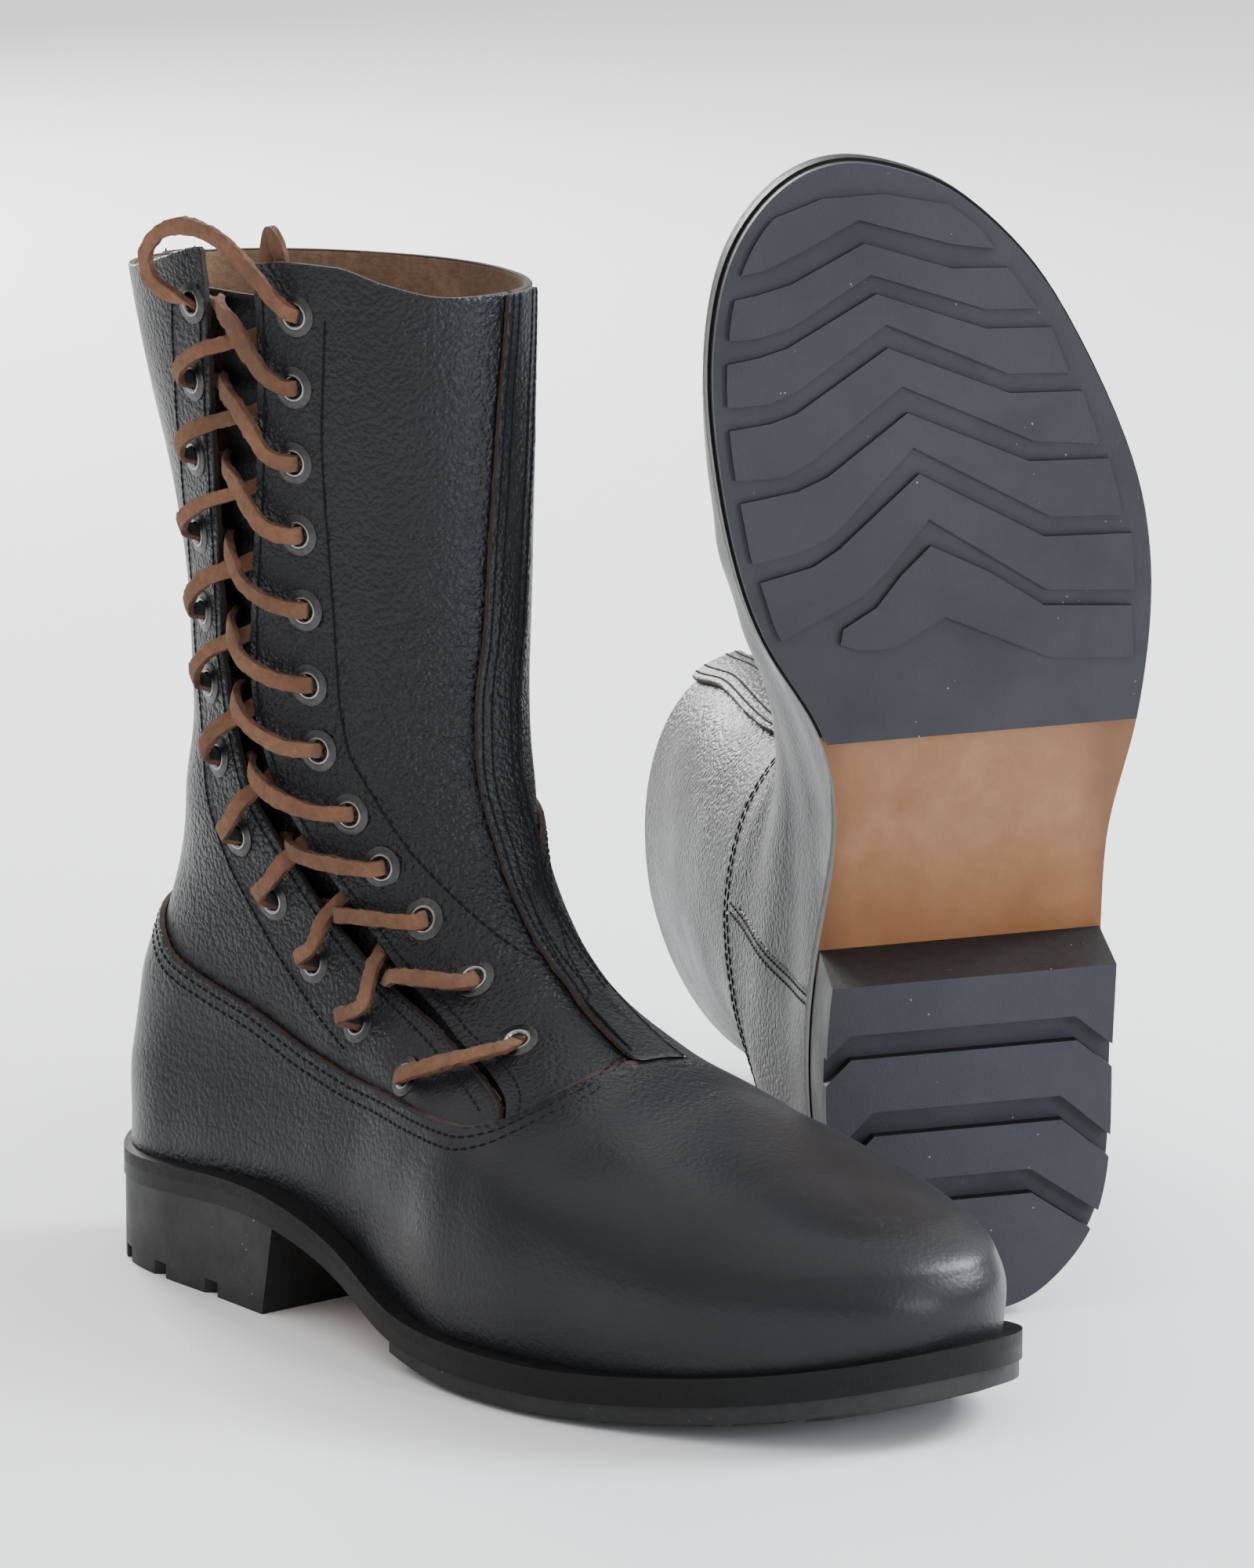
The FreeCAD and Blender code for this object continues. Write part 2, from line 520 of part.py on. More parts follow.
def lace_route():
    """One lace: a bar across the lowest pair, criss-cross up both lines and a loop over the top."""
    front, rear = eyelet_places()
    rows = len(front)

    def eye(side, row, offset):
        turn, z = (front if side else rear)[row]
        return skin_point(turn, z, offset)

    def strand(side):
        """From the bar, up to the top eyelet that this strand comes out of."""
        points = [eye(side, rows - 1, LACE_OUT), eye(side, rows - 1, LACE_IN)]
        side = 1 - side
        points += [eye(side, rows - 2, LACE_IN), eye(side, rows - 2, LACE_OUT)]
        for row in range(rows - 2, 0, -1):
            low = (front if side else rear)[row][1]
            climb = (rear if side else front)[row - 1][1] - low
            cross = LACE_CROSS_FRONT if side else LACE_CROSS_REAR
            points.append(gap_point(side, low + 0.42 * climb, LACE_OVER_EDGE))
            points.append(gap_point(0.5, low + 0.62 * climb, cross))
            points.append(gap_point(1 - side, low + 0.8 * climb, LACE_UNDER_EDGE))
            side = 1 - side
            points += [eye(side, row - 1, LACE_IN), eye(side, row - 1, LACE_OUT)]
        return points

    bar = [eye(0, rows - 1, LACE_OUT), eye(1, rows - 1, LACE_OUT)]
    middle = (bar[0] + bar[1]) * 0.5 + skin_normal(*front[-1]) * 1.0
    loop = []
    for x, z, offset in ((46, 272, 8), (50, 282, 9), (64, 285, 7), (78, 280, 6), (86, 272, 5)):
        loop.append(skin_point(outer_turn(x, 271), 271, offset))
        loop[-1].z = z
    route = [middle] + strand(1) + loop + strand(0)[::-1]
    route.append(middle + (route[-1] - middle).normalize() * 0.2)
    return route


def lace_runs():
    """The lace's route cut where it crosses the ankle: runs on the foot and runs on the leg."""
    def beyond(point):
        if point.z < FOOT_TOP:
            return -ANKLE_RADIUS
        return math.hypot(point.x - ANKLE_X, point.z - ANKLE_Z) - ANKLE_RADIUS

    route = lace_route()
    runs = {"foot": [], "leg": []}
    for side, name in ((-1, "foot"), (1, "leg")):
        current = []
        for start, end in zip(route, route[1:]):
            before, after = side * beyond(start) - LACE_CLEAR, side * beyond(end) - LACE_CLEAR
            if before > 0 and not current:
                current = [start]
            if before * after < 0:
                current.append(start + (end - start) * (before / (before - after)))
            if after > 0:
                current.append(end)
            elif current:
                runs[name].append(current)
                current = []
        if current:
            runs[name].append(current)
    for run in runs["foot"] + runs["leg"]:
        if (run[-1] - run[-2]).Length < LACE_SHORTEST:
            del run[-2]
        if (run[1] - run[0]).Length < LACE_SHORTEST:
            del run[1]
    return runs


# --- Boot -------------------------------------------------------------------------------------

def split_at_ankle(shape):
    """The foot's share and the leg's share of a piece that crosses the ankle."""
    def drum(radius):
        return Part.makeCylinder(radius, 2 * WIDE, V(ANKLE_X, -WIDE, ANKLE_Z), V(0, 1, 0))

    low_block = Part.makeBox(500, 2 * WIDE, FOOT_TOP + 50, V(-100, -WIDE, -50))
    high_block = Part.makeBox(500, 2 * WIDE, 300, V(-100, -WIDE, FOOT_TOP))
    foot = shape.common(low_block.fuse(drum(ANKLE_RADIUS - ANKLE_GAP / 2)))
    leg = shape.common(high_block.cut(drum(ANKLE_RADIUS + ANKLE_GAP / 2)))
    return foot, leg


def boot_parts():
    parts = sole_parts()
    parts.update(galosh_parts())
    parts.update(stiffener_parts())
    crossing = leg_parts()
    holes = Part.makeCompound([hole for _, _, hole in eyelets()])
    for name in ("front_panel", "rear_panel"):
        crossing[name] = crossing[name].cut(holes)
    crossing.update(strip_parts())
    crossing["tongue"] = tongue_part()
    for name, shape in crossing.items():
        parts[name + "_lower"], parts[name + "_upper"] = split_at_ankle(shape)
    for name, runs in (("lace_lower", "foot"), ("lace_upper", "leg")):
        parts[name] = Part.makeCompound([tube(run, LACE_RADIUS) for run in lace_runs()[runs]])
    low = [metal for z, metal, _ in eyelets() if z < 175]
    high = [metal for z, metal, _ in eyelets() if z >= 175]
    parts["eyelets_lower"] = Part.makeCompound(low)
    parts["eyelets_upper"] = Part.makeCompound(high)
    return parts


def right_placed(shape):
    turn = FreeCAD.Rotation(V(0, 0, 1), RIGHT_HEADING)
    return shape.transformed(FreeCAD.Placement(V(*RIGHT_PLACE), turn).toMatrix())


def left_placed(shape):
    """Mirror image, laid on its back: x becomes up, and z runs away along +Y."""
    on_back = FreeCAD.Rotation(V(1, 1, 1), 240)
    tilt = FreeCAD.Rotation(V(0, 1, 0), LEFT_SIDE_TILT)
    mirrored = shape.mirror(V(0, 0, 0), V(0, 1, 0))
    return mirrored.transformed(FreeCAD.Placement(V(*LEFT_PLACE), tilt.multiply(on_back)).toMatrix())


def main():
    os.makedirs("parts", exist_ok=True)
    for name, shape in boot_parts().items():
        solids = [solid for solid in shape.Solids if solid.Volume > 1.0]
        shape = Part.makeCompound(solids) if len(solids) > 1 else solids[0]
        valid = all(solid.isValid() for solid in solids)
        print(f"{name}: {len(solids)} solid(s), {shape.Volume / 1000:.2f} cm3, valid {valid}")
        right_placed(shape).exportStep(f"parts/right_{name}.step")
        left_placed(shape).exportStep(f"parts/left_{name}.step")


main()
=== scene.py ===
import functools
import math

import bpy
import numpy as np
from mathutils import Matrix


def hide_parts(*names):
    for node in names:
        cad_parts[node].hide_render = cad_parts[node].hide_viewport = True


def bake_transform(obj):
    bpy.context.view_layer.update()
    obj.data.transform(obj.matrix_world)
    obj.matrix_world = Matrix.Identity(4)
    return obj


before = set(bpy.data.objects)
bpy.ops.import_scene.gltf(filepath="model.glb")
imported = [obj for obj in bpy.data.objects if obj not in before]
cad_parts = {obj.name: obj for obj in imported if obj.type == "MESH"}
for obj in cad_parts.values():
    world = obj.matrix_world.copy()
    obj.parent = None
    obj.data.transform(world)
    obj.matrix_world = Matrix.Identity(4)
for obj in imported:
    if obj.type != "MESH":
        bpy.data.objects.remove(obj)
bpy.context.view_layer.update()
MM = 0.001

# --- Where the boots are: the same places as their CAD solids ---
RIGHT_HEADING = math.radians(-57.5)
RIGHT_PLACE = np.array((-114.81, 49.02, 0.0))
LEFT_TILT = math.radians(-3.3)
LEFT_PLACE = np.array((85.19, -78.48, 0.35))
CAMERA_PLACE = (-352.61, -2428.98, 636.2)
CAMERA_TURN, CAMERA_DIP = -8.34, 11.67
LENS = 215.5

# --- The boot's outer form, in millimetres, heel to toe along x, sole to leg along z ---
# By height: the front's and back's x, lengths of rounding, shares, lean and twist (in degrees).
# By x: the foot's half width and how its middle curves to the side.
FRONT = [(0, 299), (22, 300), (34, 301), (43, 297), (50, 285), (56, 268), (62, 247), (68, 225),
         (74, 205), (80, 189), (86, 175.5), (93, 163), (101, 152), (110, 144), (122, 137),
         (135, 131.5), (150, 128.5), (170, 127), (200, 127), (240, 128.5), (280, 129)]
BACK = [(0, 4), (36, 4), (55, 1), (75, 1), (92, 5.5), (110, 11.5), (130, 17), (155, 20),
        (180, 19), (210, 14.5), (240, 8), (280, 0)]
FRONT_ROUND = [(0, 75), (50, 80), (70, 95), (90, 104), (115, 88), (150, 68), (200, 66), (300, 68)]
BACK_ROUND = [(0, 34), (60, 36), (110, 48), (160, 58), (220, 64), (300, 68)]
FOOT_WIDTH = [(0, 32), (30, 32), (60, 32.5), (100, 31), (120, 31.5), (150, 38), (180, 47),
              (205, 50), (245, 49), (306, 47)]
LEG_WIDTH = [(0, 36), (100, 36), (150, 36.5), (200, 38), (280, 40.5)]
LEG_SHARE = [(0, 0), (45, 0), (140, 1), (300, 1)]
BULGE = [(0, 0.94), (14, 0.96), (30, 1.0), (50, 0.99), (70, 0.95), (100, 0.95), (140, 1.0), (300, 1.0)]
FOOT_CURVE = [(0, 0), (60, 0), (110, -4), (155, -7), (195, -3), (245, 5), (282, 11), (306, 15)]
FOOT_CURVE_KEPT = [(0, 1), (40, 1), (90, 0.4), (140, 0), (300, 0)]
LEAN = [(0, 0), (35, 0), (60, 3), (105, 8), (160, 8), (280, 5)]
TWIST = [(0, 0), (80, 0), (180, 6), (280, 8)]
SHAFT_TOP = 271.0           # above this the lace hangs free of the leather
OUTER_TOP = [(-5, 268), (20, 269.5), (40, 274), (62, 279.5), (76, 276.5), (88, 278), (102, 277.5),
             (115, 273), (126, 270), (135, 270)]
INNER_TOP = [(-5, 268), (40, 269), (90, 270), (135, 270)]

# Edges that run along the boot are (x, height), and those that run up it (height, x), but for
# the shin's strip and seam, which are (height, y).
SOLE_LINE = [(-10, 25), (60, 25), (95, 24.6), (125, 17), (155, 8), (190, 6), (225, 6.5), (260, 9.5),
             (290, 14.5), (312, 20)]
MIDSOLE = 4.0
OUTER_TOPLINE = [(-15, 98), (5, 97), (20, 91), (34, 84.5), (69, 76.5), (96, 69.5), (122, 66),
                 (148, 65.5), (172, 66), (182, 68.5), (188, 74), (190.5, 82), (192, 92)]
INNER_TOPLINE = [(-15, 98), (15, 100), (38, 107), (60, 121), (88, 131), (112, 132), (128, 127),
                 (140, 119), (150, 109), (160, 101), (172, 94), (184, 90), (192, 92)]
OUTER_PANEL_FOOT = [(-15, 88), (5, 88), (20, 82), (34, 75.5), (69, 67.5), (96, 60.5), (122, 57),
                    (148, 56.5), (172, 57), (184, 60), (193, 70), (198, 84)]
INNER_PANEL_FOOT = [(-15, 88), (15, 90), (38, 97), (60, 111), (88, 121), (112, 122), (128, 117),
                    (142, 112), (150, 116)]
GAP_FRONT = [(56, 192), (71, 179), (83, 147), (96, 118), (111, 100.5), (123, 89), (144, 76),
             (165, 70.5), (221, 76), (268, 79), (290, 79)]
GAP_REAR = [(54, 190), (69, 179), (79, 152), (92, 115), (106, 93), (119, 81.5), (134, 70),
            (155, 61), (176, 57.5), (218, 58), (273, 61), (290, 61)]
FRONT_EYES = [(83, 166.5), (95, 144), (108, 125), (120, 111.5), (133, 102), (149, 93), (166, 90),
              (186, 89.5), (225, 88.5), (264, 91)]
REAR_EYES = [(71, 137), (80, 111.5), (92, 90.5), (106, 74), (122, 62.5), (142, 54), (161, 49),
             (180, 46.5), (201, 46), (222, 48), (243, 51.5), (264, 55)]
EYE_ROWS = ((FRONT_EYES, (264, 245, 225, 206, 186, 166, 149, 133, 120, 108, 95, 83)),
            (REAR_EYES, (264, 243, 222, 201, 180, 161, 142, 122, 106, 92, 80, 71)))
TONGUE_REAR = [(76, 137), (79, 128), (90, 102), (104, 80), (119, 66), (134, 54), (155, 45),
               (176, 41), (218, 42), (270, 44)]
TONGUE_FRONT = [(76, 186), (84, 178), (95, 160), (106, 142), (118, 126), (131, 114), (146, 106),
                (165, 101), (221, 103), (270, 106)]
TONGUE_FOOT, TONGUE_TOP = 77.0, 267.0
STRIP_EDGE = [(60, 2), (78, 2), (95, 4), (110, 4), (125, 3.5), (143, 2.5), (160, 3.5), (182, 6.5),
              (238, 9), (269, 13), (290, 14)]
STRIP_WIDTH, STRIP_HEEL_END, STRIP_TOE_END = 15.0, 95, 190.0
BACK_SEAM = 5.0
BACK_STRIP_INNER, BACK_STRIP_OUTER, BACK_STRIP_FRONT, BACK_STRIP_LOW = 12.0, -1.0, 35, 99.3
QUARTER_SEAM = [(10, 78), (60, 80), (100, 86), (140, 92)]
SHIN_SEAM = [(40, 7.5), (290, 17.5)]


# Distances outside the form, in millimetres, of each layer's face and back.
OUTER_SKIN, LEG_SKIN, TONGUE_SKIN = 1.0, -1.1, -8.0
OUTER_LAYER, STRIP_LAYER, LEG_LAYER = (OUTER_SKIN, -0.9), (OUTER_SKIN, -0.75), (LEG_SKIN, -3.2)
TONGUE_BACK = -9.6
GUSSET, GUSSET_RISE = 5.0, 3.2
TAU = 2 * math.pi
NORMAL_TURN, NORMAL_RISE = 0.03, 1.5    # steps for finding the form's normal
LEAST_LEVEL = 0.42                      # keeps layers thin where the form is nearly level
HALVINGS = 36


def smooth(table, x):
    """Values at x of a smooth line through (x, value) pairs, without overshoot."""
    table = np.array(table, float)
    xs, ys = table[:, 0], table[:, 1]
    slopes = np.diff(ys) / np.diff(xs)
    tangents = np.concatenate((slopes[:1], slopes[1:], slopes[-1:]))
    before, after = slopes[:-1], slopes[1:]
    total = np.where(before * after <= 0, 1.0, before + after)
    tangents[1:-1] = np.where(before * after <= 0, 0.0, 2 * before * after / total)
    x = np.clip(np.asarray(x, float), xs[0], xs[-1])
    i = np.clip(np.searchsorted(xs, x) - 1, 0, len(xs) - 2)
    run = xs[i + 1] - xs[i]
    t = (x - xs[i]) / run
    return ((2 * t**3 - 3 * t * t + 1) * ys[i] + (t**3 - 2 * t * t + t) * run * tangents[i]
            + (3 * t * t - 2 * t**3) * ys[i + 1] + (t**3 - t * t) * run * tangents[i + 1])


def rounding(share, power):
    share = np.clip(share, 0.0, 1.0)
    return (1 - (1 - share) ** power) ** (1 / power)


def form_point(turn, z):
    """Points of the outer form; turn runs 0 to 2 pi from the back by the inner side."""
    turn, z = np.broadcast_arrays(np.asarray(turn, float), np.asarray(z, float))
    front, back = smooth(FRONT, z), smooth(BACK, z)
    x = back + (front - back) * (1 - np.cos(turn)) / 2
    share = smooth(LEG_SHARE, z)
    width = ((1 - share) * smooth(FOOT_WIDTH, x) + share * smooth(LEG_WIDTH, z)) * smooth(BULGE, z)
    width = width * rounding((front - x) / smooth(FRONT_ROUND, z), 2.15)
    width = width * rounding((x - back) / smooth(BACK_ROUND, z), 2.1)
    side = np.where(np.sin(turn) >= 0, 1.0, -1.0)
    y = smooth(FOOT_CURVE, x) * smooth(FOOT_CURVE_KEPT, z) + smooth(LEAN, z) + side * width
    middle, twist = (front + back) / 2, np.radians(smooth(TWIST, z))
    ahead = x - middle
    return np.stack((middle + ahead * np.cos(twist) - y * np.sin(twist),
                     ahead * np.sin(twist) + y * np.cos(twist), z), -1)


def unit(v):
    return v / np.maximum(np.linalg.norm(v, axis=-1, keepdims=True), 1e-9)


def skin_normal(turn, z):
    along = form_point(turn + NORMAL_TURN, z) - form_point(turn - NORMAL_TURN, z)
    up = form_point(turn, z + NORMAL_RISE) - form_point(turn, z - NORMAL_RISE)
    return unit(np.cross(up, along))


def skin_point(turn, z, offset):
    """Points at a distance outside the form, kept at their own height."""
    turn, z = np.broadcast_arrays(np.asarray(turn, float), np.asarray(z, float))
    normal = skin_normal(turn, z)
    level = np.maximum(np.hypot(normal[..., 0], normal[..., 1]), 1e-6)
    reach = offset / np.maximum(level, LEAST_LEVEL) / level
    flat = normal * np.stack((reach, reach, 0 * reach), -1)
    return form_point(turn, z) + flat


def first_turn(low, high, past):
    """Turn between low and high from which past holds."""
    for _ in range(HALVINGS):
        middle = (low + high) / 2
        reached = past(middle)
        low, high = np.where(reached, low, middle), np.where(reached, middle, high)
    return (low + high) / 2


def find_turn(x, z, outer=True):
    """Turn at which one side of the form has this x."""
    x, z = np.broadcast_arrays(np.asarray(x, float), np.asarray(z, float))
    start = np.full(x.shape, math.pi if outer else 0.0)
    return first_turn(start, start + math.pi, lambda turn: (form_point(turn, z)[..., 0] > x) != outer)


# --- Putting a boot's points into the scene ---
def right_frame():
    """Rows are the scene directions of the standing boot's x, y and z."""
    c, s = math.cos(RIGHT_HEADING), math.sin(RIGHT_HEADING)
    return np.array(((c, s, 0), (-s, c, 0), (0, 0, 1))), RIGHT_PLACE


def left_frame():
    """The same for the lying boot, which is mirrored and on its back."""
    c, s = math.cos(LEFT_TILT), math.sin(LEFT_TILT)
    return np.array(((s, 0, c), (-c, 0, s), (0, 1, 0))), LEFT_PLACE


FRAMES = {"right": right_frame(), "left": left_frame()}


def placed(points, side):
    axes, place = FRAMES[side]
    return (np.asarray(points) @ axes + place) * MM


# --- Sheets of leather ---
def dense(table, count=150, swap=False):
    """A smooth line as many short straight ones; swap for tables that start with the height."""
    keys = np.linspace(table[0][0], table[-1][0], count)
    values = smooth(table, keys)
    return np.stack((values, keys) if swap else (keys, values), -1)


def beside(line, a, b):
    """Signed distance from a line, positive on its left as it runs."""
    best = np.full(a.shape, np.inf)
    sign = np.ones(a.shape)
    for (x0, z0), (x1, z1) in zip(line[:-1], line[1:]):
        dx, dz = x1 - x0, z1 - z0
        t = np.clip(((a - x0) * dx + (b - z0) * dz) / (dx * dx + dz * dz), 0, 1)
        gap = (a - x0 - t * dx) ** 2 + (b - z0 - t * dz) ** 2
        side = dx * (b - z0) - dz * (a - x0)
        nearer = gap < best
        best = np.where(nearer, gap, best)
        sign = np.where(nearer, np.sign(side), sign)
    return np.sqrt(best) * sign


def above(table, p):
    return beside(dense(table), p[..., 0], p[..., 2])


def under(table, p):
    return -above(table, p)


def behind(table, p):
    """table gives x at each height."""
    return beside(dense(table, swap=True), p[..., 0], p[..., 2])


def above_sole(p):
    return p[..., 2] - smooth(SOLE_LINE, p[..., 0]) - MIDSOLE


def least(*shares):
    return functools.reduce(np.minimum, shares)


# Outlines of the sheets: each function is positive inside its sheet.
def in_strip(p):
    edge = smooth(STRIP_EDGE, p[..., 2])
    return least(p[..., 1] - edge, edge + STRIP_WIDTH - p[..., 1],
                 STRIP_TOE_END - p[..., 0], p[..., 0] - STRIP_HEEL_END)


def below_top(p):
    """The leg's top edge: highest beside the lacing."""
    return np.where(p[..., 1] < 8, smooth(OUTER_TOP, p[..., 0]), smooth(INNER_TOP, p[..., 0])) - p[..., 2]


def in_galosh(p):
    outer = p[..., 1] < BACK_SEAM
    top = np.where(outer, under(OUTER_TOPLINE, p), under(INNER_TOPLINE, p))
    quarter = np.where(outer, -np.inf, behind(QUARTER_SEAM, p))
    return least(above_sole(p), top, -in_strip(p), -quarter)


def in_quarter(p):
    return least(above_sole(p), under(INNER_TOPLINE, p), p[..., 1] - BACK_SEAM, behind(QUARTER_SEAM, p))


def outer_side(p):
    seam = smooth(SHIN_SEAM, p[..., 2])
    return np.where(p[..., 0] > 65, seam, BACK_SEAM) - p[..., 1]


def in_front(p):
    return least(-behind(GAP_FRONT, p), below_top(p), above(OUTER_PANEL_FOOT, p), outer_side(p))


def in_rear(p):
    return least(behind(GAP_REAR, p), below_top(p), above(OUTER_PANEL_FOOT, p), outer_side(p))


def in_inner(p):
    return least(above(INNER_PANEL_FOOT, p), -outer_side(p), below_top(p))


def in_back_strip(p):
    return least(p[..., 1] - BACK_STRIP_OUTER, BACK_STRIP_INNER - p[..., 1], below_top(p),
                 p[..., 2] - BACK_STRIP_LOW, BACK_STRIP_FRONT - p[..., 0])


def in_shin_strip(p):
    return least(in_strip(p), below_top(p))


FINE_STEP, COARSE_STEP, LEAST_STEP = 0.75, 1.9, 0.3
PULL_SPREAD = 62.0


def bell(a, middle, width):
    return np.exp(-((a - middle) / width) ** 2)


def creases(p):
    """How far the leather stands off: creased by wear, slack in the leg, drawn in at the eyelets."""
    x, y, z = p[..., 0], p[..., 1], p[..., 2]
    front = bell(x, 135, 34) * bell(z, 112, 30)
    fold = front * (0.75 * np.sin((z + 0.35 * x) / 4.6 + 0.5 * np.sin(y / 9.0)) - 0.2)
    waist = bell(z, 128, 26) * bell(x, 30, 26) * 0.5 * np.sin(z / 6.2 + 0.7 * np.sin(y / 12.0))
    slack = 0.55 * np.sin(z / 31.0 + y / 17.0) + 0.35 * np.sin(z / 17.0 - x / 23.0)
    leg = np.clip((z - 130) / 40, 0, 1) * slack
    vamp = bell(x, 196, 24) * bell(z, 62, 22) * 0.35 * np.sin(x / 4.3 + 0.8 * np.sin(y / 10.0))
    pulled = 0.0
    for table, levels in EYE_ROWS:
        for level in levels:
            far = (x - smooth(table, level)) ** 2 + (z - level) ** 2
            pulled = pulled + np.where(y < 12, np.exp(-far / PULL_SPREAD), 0.0)
    return fold + waist + leg + vamp - 0.75 * pulled


def heights(low, high):
    """Levels for a sheet's points, closer together where the galosh curves over the foot."""
    levels = [low]
    while levels[-1] < high - LEAST_STEP:
        levels.append(min(levels[-1] + (FINE_STEP if 37 < levels[-1] < 92 else COARSE_STEP), high))
    return np.array(levels)


def clipped(turns, levels, inside):
    """Grid over the form, cut to where inside is positive: (turn, z) of its points, and faces."""
    grid_t, grid_z = np.meshgrid(turns, levels, indexing="ij")
    share = inside(form_point(grid_t, grid_z))
    keep = share > 0
    number = -np.ones(keep.shape, int)
    number[keep] = np.arange(keep.sum())
    spots = list(zip(grid_t[keep], grid_z[keep]))
    crossed = {}

    def crossing(a, b):
        key = (a, b) if a < b else (b, a)
        if key not in crossed:
            t = share[key[0]] / (share[key[0]] - share[key[1]])
            crossed[key] = len(spots)
            spots.append(tuple((1 - t) * g[key[0]] + t * g[key[1]] for g in (grid_t, grid_z)))
        return crossed[key]

    count = keep[:-1, :-1].astype(int) + keep[1:, :-1] + keep[1:, 1:] + keep[:-1, 1:]
    faces = []
    for i, j in zip(*np.nonzero(count)):
        corners = [(i, j), (i, j + 1), (i + 1, j + 1), (i + 1, j)]
        face = []
        for a, b in zip(corners, corners[1:] + corners[:1]):
            if keep[a]:
                face.append(number[a])
            if keep[a] != keep[b]:
                face.append(crossing(a, b))
        faces.append(face)
    return np.array(spots), faces


EDGE_ROUND, RIM_SHARE = 0.4, 0.16       # how far a rim draws in, and where its rounding starts


def thick(top, back, faces):
    """Closed sheet from matching top and back points: its vertices, faces and face materials."""
    seen = dict.fromkeys((a, b) for face in faces for a, b in zip(face, face[1:] + face[:1]))
    rim = [(a, b) for a, b in seen if (b, a) not in seen]
    outward = np.zeros(top.shape)
    up = unit(top - back)
    for a, b in rim:
        direction = np.cross(top[b] - top[a], up[a])
        outward[a] += direction
        outward[b] += direction
    outward = unit(outward)
    edge = sorted({v for pair in rim for v in pair})
    place = {v: k for k, v in enumerate(edge)}
    n, m = len(top), len(edge)
    high = top[edge] * (1 - RIM_SHARE) + back[edge] * RIM_SHARE
    low = top[edge] * RIM_SHARE + back[edge] * (1 - RIM_SHARE)
    shrink = outward * EDGE_ROUND
    points = np.concatenate((top - shrink, back - shrink, high, low))
    all_faces = [list(f) for f in faces] + [[v + n for v in f[::-1]] for f in faces]
    material = [0] * len(faces) + [2] * len(faces)
    for a, b in rim:
        rings = [(a, b)] + [(2 * n + k * m + place[a], 2 * n + k * m + place[b]) for k in (0, 1)]
        rings.append((a + n, b + n))
        for (a0, b0), (a1, b1) in zip(rings, rings[1:]):
            all_faces.append([b0, a0, a1, b1])
        material += [0, 1, 1]
    return points, all_faces, material


def leather(first, last, count, levels, inside, top, back):
    """A creased sheet of the upper, from one turn to another and between two distances off the form."""
    spots, faces = clipped(np.linspace(first, last, count), levels, inside)
    turn, z = spots[:, 0], spots[:, 1]
    lift = creases(form_point(turn, z))
    return thick(skin_point(turn, z, top + lift), skin_point(turn, z, back + lift), faces)


def new_object(name, data):
    thing = bpy.data.objects.new(name, data)
    bpy.context.collection.objects.link(thing)
    return thing


def make_mesh(name, side, shape, materials, smooth_angle=40):
    """One object of boot-local points, in millimetres, put where its boot is."""
    points, faces, material = shape
    if side == "left":
        faces = [f[::-1] for f in faces]
    mesh = bpy.data.meshes.new(f"{side}_{name}_look")
    mesh.from_pydata(placed(points, side).tolist(), [], [[int(v) for v in f] for f in faces])
    for m in materials:
        mesh.materials.append(m)
    mesh.polygons.foreach_set("material_index", material)
    mesh.polygons.foreach_set("use_smooth", [True] * len(mesh.polygons))
    mesh.set_sharp_from_angle(angle=math.radians(smooth_angle))
    return new_object(f"{side}_{name}_look", mesh)


# --- Stitches, eyelets and lace ---
def ball(rings, sides):
    """A unit ball's points and faces."""
    points = [(0, 0, 1)]
    for i in range(1, rings):
        a = math.pi * i / rings
        points += [(math.sin(a) * math.cos(2 * math.pi * k / sides),
                    math.sin(a) * math.sin(2 * math.pi * k / sides), math.cos(a)) for k in range(sides)]
    points.append((0, 0, -1))
    faces = [[0, 1 + k, 1 + (k + 1) % sides] for k in range(sides)]
    for i in range(rings - 2):
        for k in range(sides):
            a, b = 1 + i * sides + k, 1 + i * sides + (k + 1) % sides
            faces.append([a, a + sides, b + sides, b])
    last = len(points) - 1
    faces += [[last, last - sides + (k + 1) % sides, last - sides + k] for k in range(sides)]
    return np.array(points), faces


def along(points, pitch):
    """Points evenly spaced on a line of 3-D points."""
    steps = np.linalg.norm(np.diff(points, axis=0), axis=1)
    total = np.concatenate(([0], np.cumsum(steps)))
    count = max(int(total[-1] / pitch), 1)
    spots = (np.arange(count) + 0.5) * total[-1] / count
    return np.stack([np.interp(spots, total, points[:, k]) for k in range(points.shape[1])], -1)


STITCH = (1.25, 0.42, 0.32)             # half its length, width and height
STITCH_PITCH, STITCH_LIFT = 3.1, 0.02
# Rows of stitches, by how far each lies from its edge, seam or line of eyelets.
TOPLINE_ROWS, QUARTER_ROWS = (2.3, 5.2), (1.6, 4.0)
EYELET_ROW, FLAP_ROW = 8.5, 2.6
STRIP_ROWS, BACK_ROWS = (1.7, 4.3, 10.7, 13.3), (1.7, 10.0)
ROWS_TOP = 270


